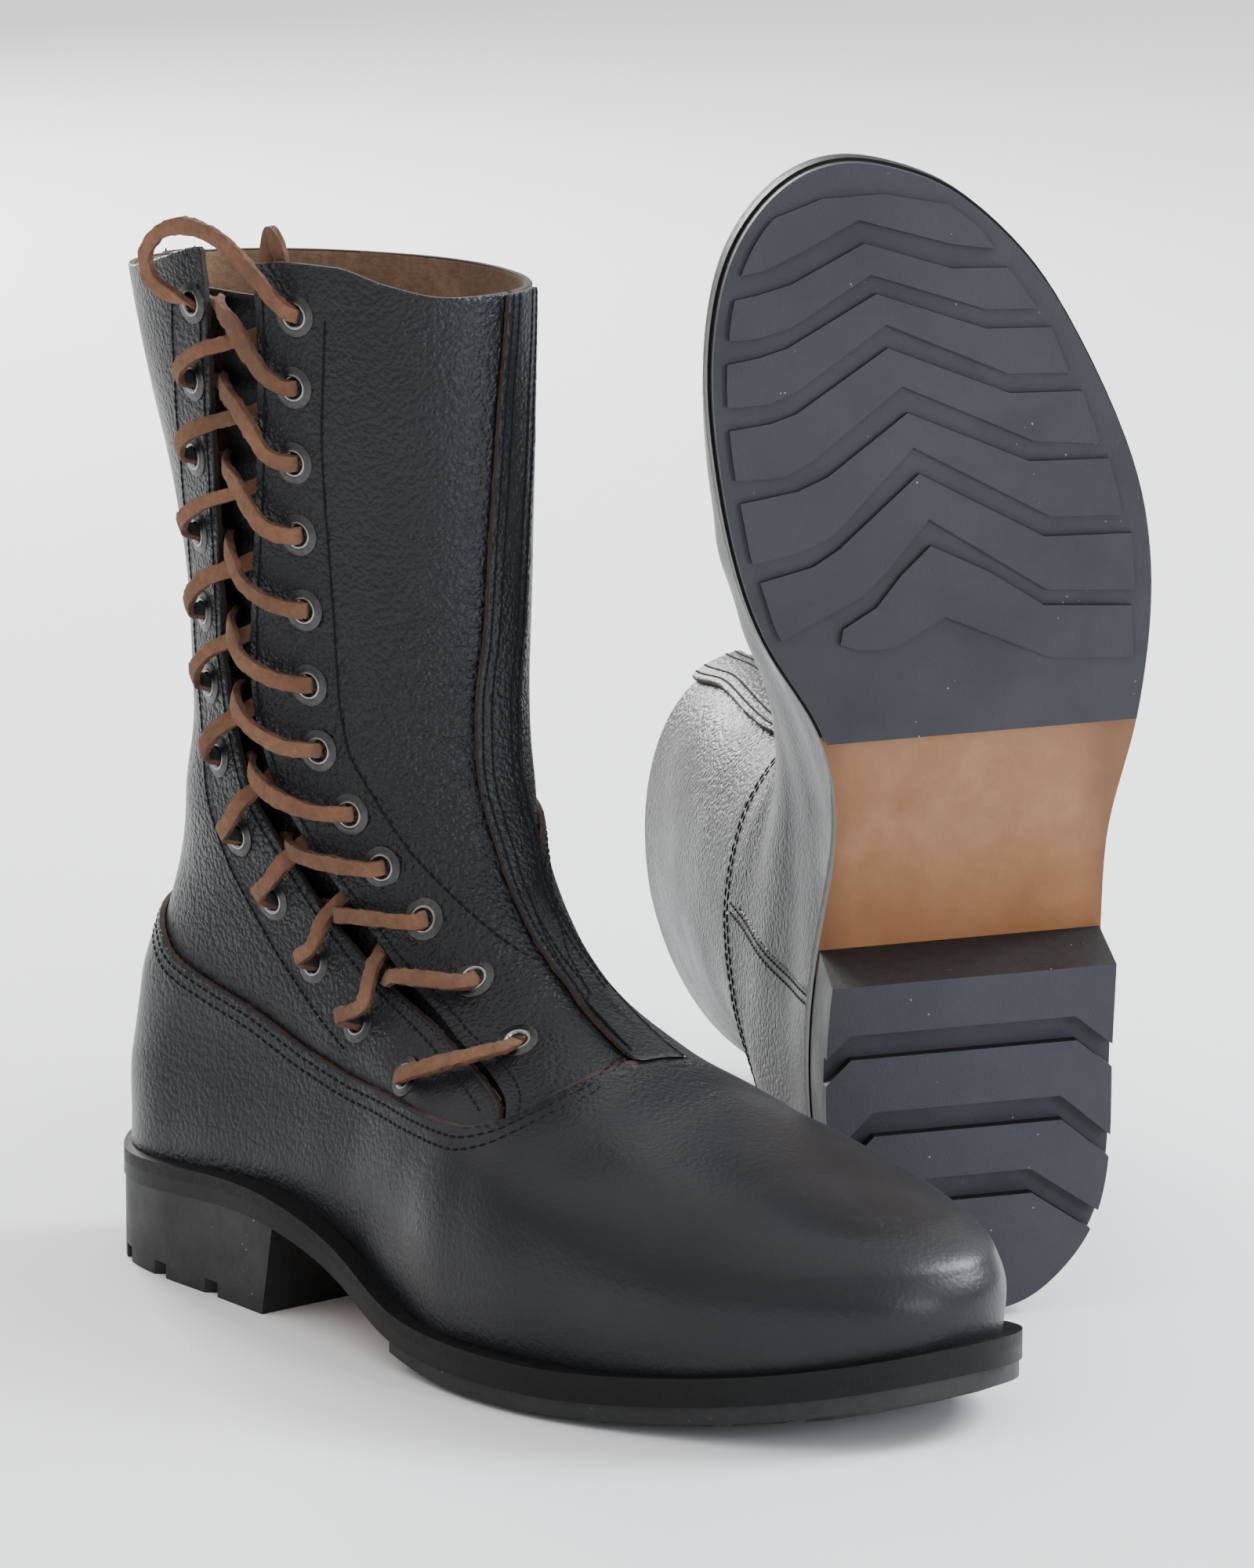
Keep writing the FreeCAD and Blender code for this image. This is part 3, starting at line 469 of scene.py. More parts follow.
def stitch_row(turns, levels, skin):
    """Stitches along a line of (turn, height), on leather whose skin is at that offset."""
    line = skin_point(turns, levels, skin + creases(form_point(turns, levels)))
    spots = along(np.concatenate((line, np.stack((turns, levels), -1)), 1), STITCH_PITCH)
    middles, turns, levels = spots[:, :3], spots[:, 3], spots[:, 4]
    normals = skin_normal(turns, levels)
    ahead = unit(np.gradient(middles, axis=0)) if len(middles) > 1 else unit(np.ones((1, 3)))
    aside = unit(np.cross(normals, ahead))
    unit_ball, faces = ball(4, 6)
    points, all_faces = [], []
    for m, n, a, s in zip(middles, normals, ahead, aside):
        start = len(points) * len(unit_ball)
        body = (unit_ball[:, 2:3] * a * STITCH[0] + unit_ball[:, 0:1] * s * STITCH[1]
                + unit_ball[:, 1:2] * n * STITCH[2])
        points.append(m + n * STITCH_LIFT + body)
        all_faces += [[v + start for v in f] for f in faces]
    return np.concatenate(points), all_faces


def joined(shapes):
    """Several shapes as one, all of its first material."""
    points, faces, start = [], [], 0
    for p, f in shapes:
        points.append(p)
        faces += [[v + start for v in face] for face in f]
        start += len(p)
    return np.concatenate(points), faces, [0] * len(faces)


def shifted(line, gap):
    """The line moved sideways, to its left as it runs."""
    step = unit(np.gradient(line, axis=0))
    return line + np.stack((-step[:, 1], step[:, 0]), -1) * gap


def side_row(line, skin, outer=True, low=-math.inf, high=math.inf, x_high=math.inf):
    """Stitches along a line of (x, height) on one side of the boot."""
    keep = (line[:, 1] > low) & (line[:, 1] < high) & (line[:, 0] < x_high)
    line = line[keep]
    return stitch_row(find_turn(line[:, 0], line[:, 1], outer), line[:, 1], skin)


def strip_row(gap, low, high):
    """A row on the shin strip, at a distance from its outer edge."""
    z = np.linspace(low, high, 120)
    y = smooth(STRIP_EDGE, z) + gap
    start, end = np.full(z.shape, 0.55 * math.pi), np.full(z.shape, 1.45 * math.pi)
    return first_turn(start, end, lambda turn: form_point(turn, z)[:, 1] <= y), z


def back_row(gap, low, high):
    """A row on the back strip, at a distance from its outer edge."""
    z = np.linspace(low, high, 100)
    y = BACK_STRIP_OUTER + gap
    start, end = np.full(z.shape, -1.2), np.full(z.shape, 1.2)
    return first_turn(start, end, lambda turn: form_point(turn, z)[:, 1] > y), z


def seam_rows():
    """All the rows of stitches on a boot."""
    outer_top, inner_top = dense(OUTER_TOPLINE), dense(INNER_TOPLINE)
    quarter = dense(QUARTER_SEAM, swap=True)
    rows = [side_row(shifted(outer_top, -gap), OUTER_SKIN) for gap in TOPLINE_ROWS]
    rows += [side_row(shifted(inner_top, -gap), OUTER_SKIN, False, x_high=189) for gap in TOPLINE_ROWS]
    for table, gap, low in ((FRONT_EYES, -EYELET_ROW, 78), (GAP_FRONT, -FLAP_ROW, 68),
                            (REAR_EYES, EYELET_ROW, 72), (GAP_REAR, FLAP_ROW, 68)):
        rows.append(side_row(shifted(dense(table, swap=True), gap), LEG_SKIN, low=low, high=ROWS_TOP))
    rows += [side_row(shifted(quarter, gap), OUTER_SKIN, False, 28, 124) for gap in QUARTER_ROWS]
    rows += [stitch_row(*strip_row(gap, 92, ROWS_TOP), OUTER_SKIN) for gap in STRIP_ROWS]
    rows += [stitch_row(*back_row(gap, 102, 269), OUTER_SKIN) for gap in BACK_ROWS]
    return rows


EYELET_SIDES = 36


def lathe(profile, point, normal):
    """A profile of (radius, height) turned about the normal at a point."""
    aside = unit(np.cross(normal, (0.0, 0.0, 1.0)))
    up = np.cross(aside, normal)
    sides = EYELET_SIDES
    angles = np.arange(sides) * 2 * math.pi / sides
    ring = np.cos(angles)[:, None] * aside + np.sin(angles)[:, None] * up
    points = np.concatenate([point + ring * r + normal * h for r, h in profile])
    faces, rows = [], len(profile)
    for i in range(rows):
        for k in range(sides):
            a, b = i * sides + k, i * sides + (k + 1) % sides
            c = ((i + 1) % rows) * sides
            faces.append([a, c + k, c + (k + 1) % sides, b])
    return points, faces


# Radius and height off the skin, once round the eyelet's wall, and its polished faces.
EYELET = [(2.25, -3.2), (3.9, -3.25), (4.0, -2.9), (2.9, -2.6), (2.9, 0.0), (5.4, 0.02), (5.6, 0.2),
          (5.55, 0.4), (5.3, 0.52), (4.1, 0.62), (3.8, 0.7), (3.5, 0.92), (3.25, 1.0), (3.0, 0.95),
          (2.7, 0.7), (2.4, 0.2), (2.25, -0.6)]
EYELET_BRIGHT = range(11, 15)


def eyelet_rings():
    """All the eyelets of a boot; the second material is on their rolled rims."""
    made = []
    for table, levels in EYE_ROWS:
        z = np.array(levels, float)
        turns = find_turn(smooth(table, z), z)
        points = skin_point(turns, z, LEG_SKIN + creases(form_point(turns, z)))
        made += [lathe(EYELET, p, n) for p, n in zip(points, skin_normal(turns, z))]
    points, faces, _ = joined(made)
    return points, faces, [int(i // EYELET_SIDES % len(EYELET) in EYELET_BRIGHT) for i in range(len(faces))]


LACE_WIDE, LACE_THICK = 2.15, 1.1        # half its width and thickness
LACE_STEP, SWELL, SIDE_FRAY, FACE_FRAY = 0.8, 0.22, 0.075, 0.03
LACE_SEED = 4
# The lace's section, in shares of LACE_WIDE and LACE_THICK, and its black faces and cut sides.
LACE_SECTION = [(1.0, 0.5), (0.93, 0.9), (0.5, 1.02), (0.0, 1.05), (-0.5, 1.02), (-0.93, 0.9),
                (-1.0, 0.5), (-1.0, -0.5), (-0.93, -0.9), (-0.5, -1.02), (0.0, -1.05), (0.5, -1.02),
                (0.93, -0.9), (1.0, -0.5)]
LACE_BLACK, LACE_SIDES = (8, 9, 10, 11), (0, 6, 7, 12, 13)


def on_skin(x, z, offset, face=0.0):
    """Point off the leather, the skin's normal there, and which way the lace's brown face looks."""
    turn = find_turn(x, z)
    lift = creases(form_point(turn, z))
    return np.concatenate((skin_point(turn, z, offset + lift), skin_normal(turn, z), (face,)))


def over_gap(share, z, offset):
    """Point over the gap between the flaps, at a share of the way from the rear flap."""
    rear, front = smooth(GAP_REAR, z), smooth(GAP_FRONT, z)
    return on_skin(rear + share * (front - rear), z, offset, 1)


# Each strand of the lace from its eyelet to the other flap: how far towards the flap's edge or
# across the gap, how much of the climb, and the height off the skin.
FRONT_STRAND = (((0.05, 0.01, 2.0), (0.45, 0.13, 3.6)),
                ((1.04, 0.44, 2.7), (0.72, 0.76, 1.7), (0.3, 0.95, -1.6)),
                (0.0, 1.02, -5.6))
REAR_STRAND = (((-0.12, 0.03, 2.3), (0.3, 0.2, 4.2)),
               ((-0.02, 0.42, 2.5), (0.45, 0.56, -1.2), (0.8, 0.66, -4.4)),
               (1.0, 0.72, -5.6))
# x, height and distance off the skin of three free stretches: over the top, the two ends, and
# (as a share of the way between the lowest eyelets, and distance) the bar at the foot.
TOP_LOOP = ((52, 266, 2.8), (48, 269, 5.0), (47, 276, 6.6), (52, 282.5, 6.6), (60, 285.5, 6.0),
            (69, 285, 5.6), (77, 281, 5.6), (84, 274, 4.8), (89, 267, 2.8))
TUCKED_ENDS = ((88, 250, -5.4), (87, 264, -5.2), (86, 274, -4.9), (84, 281.5, -5.0),
               (81.5, 284.5, -6.0), (79.5, 282, -7.2), (79, 274, -7.6), (80, 262, -7.4))
FOOT_BAR = ((0.03, 1.7), (0.22, 2.9), (0.5, 2.7), (0.78, 2.9), (0.97, 1.7))


def free_point(x, z, out):
    """Point of the lace off the leather, or off the leather's line above the leg's top."""
    level = min(z, SHAFT_TOP)
    point = on_skin(x, level, out, 1)
    point[2] += z - level
    return point


def lace_route(jitter):
    """Points along the lace, from under the lowest front eyelet, up, over the top and down again."""
    eyes = [[(float(smooth(table, z)), float(z)) for z in levels] for table, levels in EYE_ROWS]

    def eye(front, row, offset, face=0.0):
        return on_skin(*eyes[0 if front else 1][row], offset, face)

    def strand(front, low):
        points = [eye(front, low, -1.0), eye(front, low, -5.8, -1)]
        front = not front
        points += [eye(front, low - 1, -6.0, -1), eye(front, low - 1, -1.4)]
        for row in range(low - 1, 0, -1):
            x, z = eyes[0 if front else 1][row]
            climb = eyes[1 if front else 0][row - 1][1] - z
            on_flap, in_gap, dive = FRONT_STRAND if front else REAR_STRAND
            for share, rise, out in on_flap:
                level = z + rise * climb + jitter.uniform(-0.5, 0.5)
                edge = smooth(GAP_FRONT if front else GAP_REAR, level)
                out += jitter.uniform(-0.3, 0.5)
                points.append(on_skin(x + share * (edge - x), level, out, 1))
            for share, rise, out in in_gap:
                points.append(over_gap(share + jitter.uniform(-0.05, 0.05), z + rise * climb, out))
            points.append(over_gap(dive[0], z + dive[1] * climb, dive[2]))
            front = not front
            points += [eye(front, row - 1, -6.0, -1), eye(front, row - 1, -1.4)]
        return points, front

    low = len(eyes[0]) - 1
    first, first_ends_front = strand(True, low)
    second, _ = strand(False, low)
    loop = [free_point(*spot) for spot in TOP_LOOP]
    if first_ends_front:
        loop.reverse()
    (rear_x, rear_z), (front_x, front_z) = eyes[1][low], eyes[0][low]
    bar = [on_skin(rear_x + share * (front_x - rear_x), rear_z + share * (front_z - rear_z), out, 1)
           for share, out in FOOT_BAR]
    return first + loop + second[::-1] + bar + [first[0]]


def blend(t, start, end, a, b):
    """From a at t = start to b at t = end."""
    return (end - t) / (end - start) * a + (t - start) / (end - start) * b


def rounded(route):
    """The lace's points as a smooth, finely divided line."""
    gaps = np.linalg.norm(np.diff(route[:, :3], axis=0), axis=1)
    knots = np.concatenate(([0], np.cumsum(np.sqrt(gaps))))
    padded = np.concatenate((2 * route[:1] - route[1:2], route, 2 * route[-1:] - route[-2:-1]))
    k = np.concatenate(([knots[0] - (knots[1] - knots[0])], knots, [2 * knots[-1] - knots[-2]]))
    line = []
    for i in range(1, len(route)):
        p0, p1, p2, p3 = padded[i - 1:i + 3]
        t0, t1, t2, t3 = k[i - 1:i + 3]
        count = max(int(np.linalg.norm((p2 - p1)[:3]) / LACE_STEP), 2)
        t = np.linspace(t1, t2, count, endpoint=False)[:, None]
        a1 = blend(t, t0, t1, p0, p1)
        a2 = blend(t, t1, t2, p1, p2)
        a3 = blend(t, t2, t3, p2, p3)
        line.append(blend(t, t1, t2, blend(t, t0, t2, a1, a2), blend(t, t1, t3, a2, a3)))
    line = np.concatenate(line)
    for _ in range(2):
        line[1:-1] = 0.25 * line[:-2] + 0.5 * line[1:-1] + 0.25 * line[2:]
    return line


def lace_directions(line):
    """Across and through the lace all along: flat on the leather where its face is known."""
    centre, skin, face = line[:, :3], unit(line[:, 3:6]), line[:, 6]
    ahead = unit(np.gradient(centre, axis=0))
    carried = np.zeros(centre.shape)
    carried[0] = unit(np.cross(skin[0], ahead[0]) + 1e-6)
    for i in range(1, len(centre)):
        w = carried[i - 1] - np.dot(carried[i - 1], ahead[i]) * ahead[i]
        carried[i] = w / np.linalg.norm(w)
    wanted = np.cross(skin, ahead) * np.sign(face)[:, None]
    sure = np.linalg.norm(wanted, axis=1) * np.abs(face)
    third = np.cross(ahead, carried)
    angle = np.arctan2((wanted * third).sum(1), (wanted * carried).sum(1))
    where = np.nonzero(sure > 0.7)[0]
    angle = np.interp(np.arange(len(centre)), where, np.unwrap(angle[where]))
    angle = np.convolve(np.pad(angle, 4, mode="edge"), np.ones(9) / 9, "valid")
    wide = carried * np.cos(angle)[:, None] + third * np.sin(angle)[:, None]
    return wide, np.cross(ahead, wide)


def lace_sweep(route, seed):
    """The flat lace along its route, with a little swelling and fraying."""
    line = rounded(np.array(route))
    wide, deep = lace_directions(line)
    centre, points = line[:, :3], []
    shag = np.random.default_rng(seed + 50)
    swell = np.convolve(shag.normal(0, 1, len(centre) + 12), np.ones(13) / 13, "valid")[:, None] * SWELL
    for a, b in LACE_SECTION:
        fray = np.convolve(shag.normal(0, 1, len(centre) + 1), (0.5, 0.5), "valid")[:, None]
        fray = 1 + swell + fray * (SIDE_FRAY if abs(a) > 0.9 else FACE_FRAY)
        points.append(centre + wide * a * LACE_WIDE * fray + deep * b * LACE_THICK * fray)
    count, n = len(LACE_SECTION), len(centre)
    points = np.stack(points, 1).reshape(-1, 3)
    faces, material = [], []
    for i in range(n - 1):
        for j in range(count):
            a, b = i * count + j, i * count + (j + 1) % count
            faces.append([a, b, b + count, a + count])
            material.append(1 if j in LACE_BLACK else 2 if j in LACE_SIDES else 0)
    faces += [list(range(count))[::-1], list(range((n - 1) * count, n * count))]
    material += [0, 0]
    return points, faces, material


def lace_shape(seed):
    """The laced loop, and its two ends folded over and tucked in behind the front panel's top."""
    points, faces, material = lace_sweep(lace_route(np.random.default_rng(seed)), seed)
    end_points, end_faces, end_material = lace_sweep([free_point(*spot) for spot in TUCKED_ENDS], seed + 9)
    faces = faces + [[v + len(points) for v in face] for face in end_faces]
    return np.concatenate((points, end_points)), faces, material + end_material


# --- Materials ---
def opaque(color):
    return (*color, 1.0) if isinstance(color, tuple) else color


class Nodes:
    """A material and short ways to add and wire its nodes."""

    def __init__(self, name):
        self.material = bpy.data.materials.new(name)
        self.material.use_nodes = True
        self.tree = self.material.node_tree
        self.tree.nodes.clear()
        out = self.add("OutputMaterial")
        self.shader = self.add("BsdfPrincipled")
        self.tree.links.new(self.shader.outputs[0], out.inputs[0])
        self.place = self.add("TexCoord").outputs["Object"]

    def add(self, kind, **settings):
        node = self.tree.nodes.new("ShaderNode" + kind)
        for key, value in settings.items():
            setattr(node, key, value)
        return node

    def wire(self, node, **values):
        for key, value in values.items():
            socket = node.inputs[int(key[1:])] if key[1:].isdigit() else node.inputs[key.replace("_", " ")]
            if isinstance(value, bpy.types.NodeSocket):
                self.tree.links.new(value, socket)
            else:
                socket.default_value = value
        return node

    def noise(self, scale, detail=3.0, rough=0.55, place=None, distortion=0.0):
        node = self.add("TexNoise")
        self.wire(node, Vector=place or self.place, Scale=scale, Detail=detail, Roughness=rough,
                  Distortion=distortion)
        return node.outputs[0]

    def cells(self, scale, feature="F1", place=None):
        node = self.add("TexVoronoi", feature=feature)
        self.wire(node, Vector=place or self.place, Scale=scale)
        if feature == "SMOOTH_F1":
            self.wire(node, Smoothness=0.3)
        return node.outputs[0]

    def ramp(self, value, low, high, to_low=0.0, to_high=1.0):
        node = self.add("MapRange")
        self.wire(node, _0=value, _1=low, _2=high, _3=to_low, _4=to_high)
        return node.outputs[0]

    def math(self, kind, a, b=0.0):
        node = self.add("Math", operation=kind)
        self.wire(node, _0=a, _1=b)
        return node.outputs[0]

    def times(self, a, b):
        return self.math("MULTIPLY", a, b)

    def dot(self, vector, direction):
        node = self.add("VectorMath", operation="DOT_PRODUCT")
        self.wire(node, _0=vector, _1=tuple(direction))
        return node.outputs["Value"]

    def mix(self, share, a, b):
        node = self.add("Mix", data_type="RGBA")
        self.wire(node, _0=share, _6=opaque(a), _7=opaque(b))
        return node.outputs[2]

    def bump(self, height, distance, strength=1.0, normal=None):
        node = self.add("Bump")
        self.wire(node, Height=height, Distance=distance, Strength=strength)
        if normal is not None:
            self.wire(node, Normal=normal)
        return node.outputs[0]

    def finish(self, color, roughness, normal=None, metallic=0.0, **more):
        self.wire(self.shader, Base_Color=opaque(color), Roughness=roughness, Metallic=metallic, **more)
        if normal is not None:
            self.wire(self.shader, Normal=normal)
        return self.material


DRIFT = 0.0016


def stretched(n):
    """Object coordinates pushed about a little, so that grain is uneven."""
    drift = n.add("TexNoise")
    n.wire(drift, Vector=n.place, Scale=260.0, Detail=2.0)
    moved = n.add("VectorMath", operation="MULTIPLY_ADD")
    n.wire(moved, _0=drift.outputs[1], _1=(DRIFT, DRIFT, DRIFT), _2=n.place)
    return moved.outputs[0]


def boot_axes(n, side):
    """The boot's own x, y and z, in metres, as shader values."""
    axes, place = FRAMES[side]
    offset = n.add("VectorMath", operation="SUBTRACT")
    n.wire(offset, _0=n.place, _1=tuple(place * MM))
    return [n.dot(offset.outputs[0], axis) for axis in axes]


def underneath(n, side):
    """How much a face looks out of the sole, from -1 to 1."""
    return n.dot(n.add("NewGeometry").outputs["True Normal"], -FRAMES[side][0][2])


def grain_leather(name, side, tone=1.0, depth=1.0, dull=0.0):
    """Black leather, pebbled most at the ankle and least at the toe, with scuffs and uneven polish."""
    n = Nodes(name)
    x, _, z = boot_axes(n, side)
    place = stretched(n)
    pebbles = n.cells(690.0, "SMOOTH_F1", place)
    small = n.cells(1350.0, "SMOOTH_F1", place)
    area = n.noise(24.0, 3.0)
    height = n.math("ADD", n.times(pebbles, 0.8), n.times(small, 0.3))
    height = n.math("ADD", height, n.times(n.noise(2600.0, 2.0), 0.08))
    toe = n.ramp(x, 0.150, 0.235, 1.0, 0.38)
    ankle = n.times(n.ramp(z, 0.070, 0.110), n.ramp(z, 0.150, 0.215, 1.0, 0.45))
    region = n.times(toe, n.math("ADD", ankle, 0.3))
    strength = n.times(n.ramp(area, 0.3, 0.72, 0.9 * depth, 1.3 * depth), region)
    fine = n.bump(n.times(height, -1.0), 0.00062, strength)
    fine = n.bump(n.noise(38.0, 3.0, 0.5), 0.0007, 0.08, fine)
    scuff = n.ramp(n.noise(46.0, 6.0, 0.72, distortion=1.2), 0.6, 0.78)
    dark = tuple(c * tone for c in (0.0085, 0.0087, 0.0105))
    worn = tuple(c * tone for c in (0.020, 0.0205, 0.026))
    color = n.mix(n.ramp(area, 0.3, 0.7), dark, tuple(c * 1.35 for c in dark))
    color = n.mix(n.times(scuff, 0.55), color, worn)
    rough = n.ramp(n.noise(34.0, 4.0, 0.6), 0.3, 0.7, 0.33 + dull, 0.45 + dull)
    rough = n.math("ADD", rough, n.times(scuff, 0.12))
    return n.finish(color, rough, fine, Specular_IOR_Level=0.25)


def raw_edge(name, light, dark):
    """The cut edge of leather, with its fibres."""
    n = Nodes(name)
    fibres = n.noise(1500.0, 4.0, 0.7)
    color = n.mix(n.ramp(n.noise(240.0, 4.0, 0.7), 0.35, 0.65), dark, light)
    return n.finish(color, n.ramp(fibres, 0.3, 0.7, 0.7, 0.95), n.bump(fibres, 0.0004, 0.8))


def suede(name, light, dark, nap=1.0):
    """The napped back of leather, with worn patches and flecks."""
    n = Nodes(name)
    soft = n.noise(900.0, 5.0, 0.75)
    patch = n.noise(38.0, 4.0, 0.6, distortion=0.6)
    flecks = n.ramp(n.noise(420.0, 3.0, 0.7), 0.38, 0.66)
    color = n.mix(n.ramp(patch, 0.3, 0.7), dark, light)
    color = n.mix(n.times(flecks, 0.38), color, tuple(c * 0.45 for c in dark))
    return n.finish(color, n.ramp(soft, 0.3, 0.7, 0.82, 0.98), n.bump(soft, 0.00055 * nap, 0.9),
                    Sheen_Weight=0.08, Sheen_Roughness=0.5, Specular_IOR_Level=0.2)


def thread(name):
    """Twisted black cotton."""
    n = Nodes(name)
    twist = n.noise(3200.0, 2.0)
    color = n.mix(n.ramp(twist, 0.4, 0.6), (0.002, 0.002, 0.0025), (0.008, 0.008, 0.009))
    rough = n.ramp(twist, 0.3, 0.7, 0.65, 0.85)
    return n.finish(color, rough, n.bump(twist, 0.0002, 0.7), Specular_IOR_Level=0.15)


def gunmetal(name, tone, rough):
    """Worn metal whose brightest spots have this tone."""
    n = Nodes(name)
    wear = n.noise(700.0, 4.0, 0.7)
    age = n.noise(160.0, 3.0)
    dark = (0.62 * tone, 0.61 * tone, 0.60 * tone)
    color = n.mix(n.ramp(wear, 0.36, 0.7), dark, (tone, 0.985 * tone, 0.96 * tone))
    rough = n.ramp(age, 0.3, 0.7, rough, rough + 0.12)
    return n.finish(color, rough, n.bump(wear, 0.00003, 0.4), metallic=1.0)


def rubber(name, side):
    """Slate rubber with a dusty bloom underneath and a buffed black edge."""
    n = Nodes(name)
    bloom = n.noise(21.0, 5.0, 0.62, distortion=0.5)
    color = n.mix(n.ramp(bloom, 0.32, 0.68), (0.019, 0.019, 0.025), (0.029, 0.029, 0.037))
    smear = n.noise(9.0, 3.0, 0.5)
    color = n.mix(n.ramp(smear, 0.45, 0.75, 0.0, 0.35), color, (0.044, 0.044, 0.053))
    facing = underneath(n, side)
    edge = n.noise(300.0, 4.0, 0.7)
    black_edge = n.mix(n.ramp(edge, 0.35, 0.7), (0.0055, 0.0055, 0.006), (0.012, 0.012, 0.0125))
    color = n.mix(n.ramp(facing, 0.5, 0.8), black_edge, color)
    specks = n.cells(330.0, "F1")
    rare = n.ramp(n.noise(60.0, 2.0), 0.56, 0.66)
    dust = n.times(n.math("LESS_THAN", specks, 0.085), rare)
    color = n.mix(n.times(dust, 0.7), color, (0.42, 0.32, 0.2))
    pits = n.noise(1500.0, 3.0, 0.6)
    rough = n.ramp(n.noise(52.0, 5.0, 0.65), 0.3, 0.7, 0.5, 0.7)
    return n.finish(color, rough, n.bump(pits, 0.00016, 0.6), Specular_IOR_Level=0.4)


def sole_leather(name, side):
    """Natural sole leather at the waist; everything else of it is dyed black and waxed."""
    n = Nodes(name)
    x, y, _ = boot_axes(n, side)
    facing = underneath(n, side)
    waist = n.times(n.ramp(x, 0.088, 0.090), n.ramp(x, 0.1562, 0.1567, 1.0, 0.0))
    under = n.times(n.ramp(facing, 0.55, 0.62), waist)
    fibre = n.noise(120.0, 6.0, 0.7)
    fine = n.noise(900.0, 4.0, 0.7)
    worn = n.noise(26.0, 4.0, 0.6, distortion=0.8)
    tan = n.mix(n.ramp(worn, 0.3, 0.72), (0.265, 0.130, 0.067), (0.375, 0.208, 0.116))
    tan = n.mix(n.ramp(fibre, 0.35, 0.7, 0.0, 0.45), tan, (0.20, 0.098, 0.050))
    heelward = n.ramp(x, 0.098, 0.128, 1.0, 0.0)
    tan = n.mix(n.times(heelward, 0.6), tan, (0.290, 0.118, 0.040))
    rim = n.ramp(n.math("ABSOLUTE", n.math("ADD", y, 0.006)), 0.030, 0.037, 0.0, 0.5)
    tan = n.mix(rim, tan, (0.11, 0.052, 0.028))
    black = n.mix(n.ramp(fine, 0.35, 0.7), (0.002, 0.002, 0.0025), (0.006, 0.006, 0.006))
    rough = n.ramp(under, 0.0, 1.0, 0.50, 0.58)
    return n.finish(n.mix(under, black, tan), rough, n.bump(fine, 0.00018, 0.5), Specular_IOR_Level=0.18)


def plain_fibre(name, light, dark, scale=240.0, metallic=0.0, rough=0.8):
    """A mottled material for the small and inner pieces."""
    n = Nodes(name)
    mottle = n.noise(scale, 5.0, 0.7)
    color = n.mix(n.ramp(mottle, 0.35, 0.65), dark, light)
    return n.finish(color, n.ramp(mottle, 0.3, 0.7, rough - 0.1, rough + 0.08),
                    n.bump(mottle, 0.0003, 0.6), metallic=metallic, Specular_IOR_Level=0.2)


def backdrop(name):
    """The pale floor."""
    n = Nodes(name)
    tone = n.noise(3.0, 3.0)
    color = n.mix(n.ramp(tone, 0.3, 0.7), (0.86, 0.86, 0.86), (0.88, 0.88, 0.88))
    return n.finish(color, 0.75)


# --- Making both boots ---
FOLD_AT, FOLD_REST = 0.8, 0.2           # shares of the tongue's width before and after its fold
GRID_TOP = 281


def tongue_sheet():
    """The tongue, folded up along its front edge to where it is sewn behind the front panel."""
    rows, across = 90, 34
    heights_up = TONGUE_FOOT + (TONGUE_TOP - TONGUE_FOOT) * np.linspace(0, 1, rows)
    tops, backs = [], []
    for z in heights_up:
        rear, fold, front = (float(find_turn(x, z)) for x in (
            smooth(TONGUE_REAR, z), smooth(TONGUE_FRONT, z) - GUSSET, smooth(TONGUE_FRONT, z)))
        share = np.linspace(0, 1, across)
        turns = np.where(share < FOLD_AT, rear + (fold - rear) * share / FOLD_AT,
                         fold + (front - fold) * (share - FOLD_AT) / FOLD_REST)
        rise = np.clip((share - FOLD_AT) / FOLD_REST, 0, 1)
        rise = rise * rise * (3 - 2 * rise)
        pucker = 0.45 * np.sin(z / 7.5) * np.sin(share * 2.6) + 0.3 * np.sin(z / 3.7 + share * 5)
        lift = creases(form_point(turns, z)) + pucker * (1 - rise)
        tops.append(skin_point(turns, z, TONGUE_SKIN + rise * GUSSET_RISE + lift))
        backs.append(skin_point(turns, z, TONGUE_BACK + rise * GUSSET_RISE + lift))
    top, back = np.concatenate(tops), np.concatenate(backs)
    corners = [i * across + j for i in range(rows - 1) for j in range(across - 1)]
    return thick(top, back, [[a, a + 1, a + across + 1, a + across] for a in corners])


leg_levels, foot_levels = heights(48, GRID_TOP), heights(5, 134)
SHEETS = {
    "galosh": leather(0.72, TAU + 0.5, 330, foot_levels, in_galosh, *OUTER_LAYER),
    "inner_quarter": leather(0.0, 1.75, 110, foot_levels, in_quarter, *OUTER_LAYER),
    "front_panel": leather(0.8 * math.pi, 1.62 * math.pi, 190, leg_levels, in_front, *LEG_LAYER),
    "rear_panel": leather(1.1 * math.pi, TAU + 0.5, 200, leg_levels, in_rear, *LEG_LAYER),
    "inner_panel": leather(0.0, 1.1 * math.pi, 240, leg_levels, in_inner, *LEG_LAYER),
    "shin_strip": leather(0.72 * math.pi, 1.25 * math.pi, 110, heights(62, GRID_TOP), in_shin_strip,
                          *STRIP_LAYER),
    "back_strip": leather(-0.35, 0.75, 60, heights(100.5, GRID_TOP), in_back_strip, *STRIP_LAYER),
    "tongue": tongue_sheet(),
}
THREADS = joined(seam_rows())
RINGS = eyelet_rings()

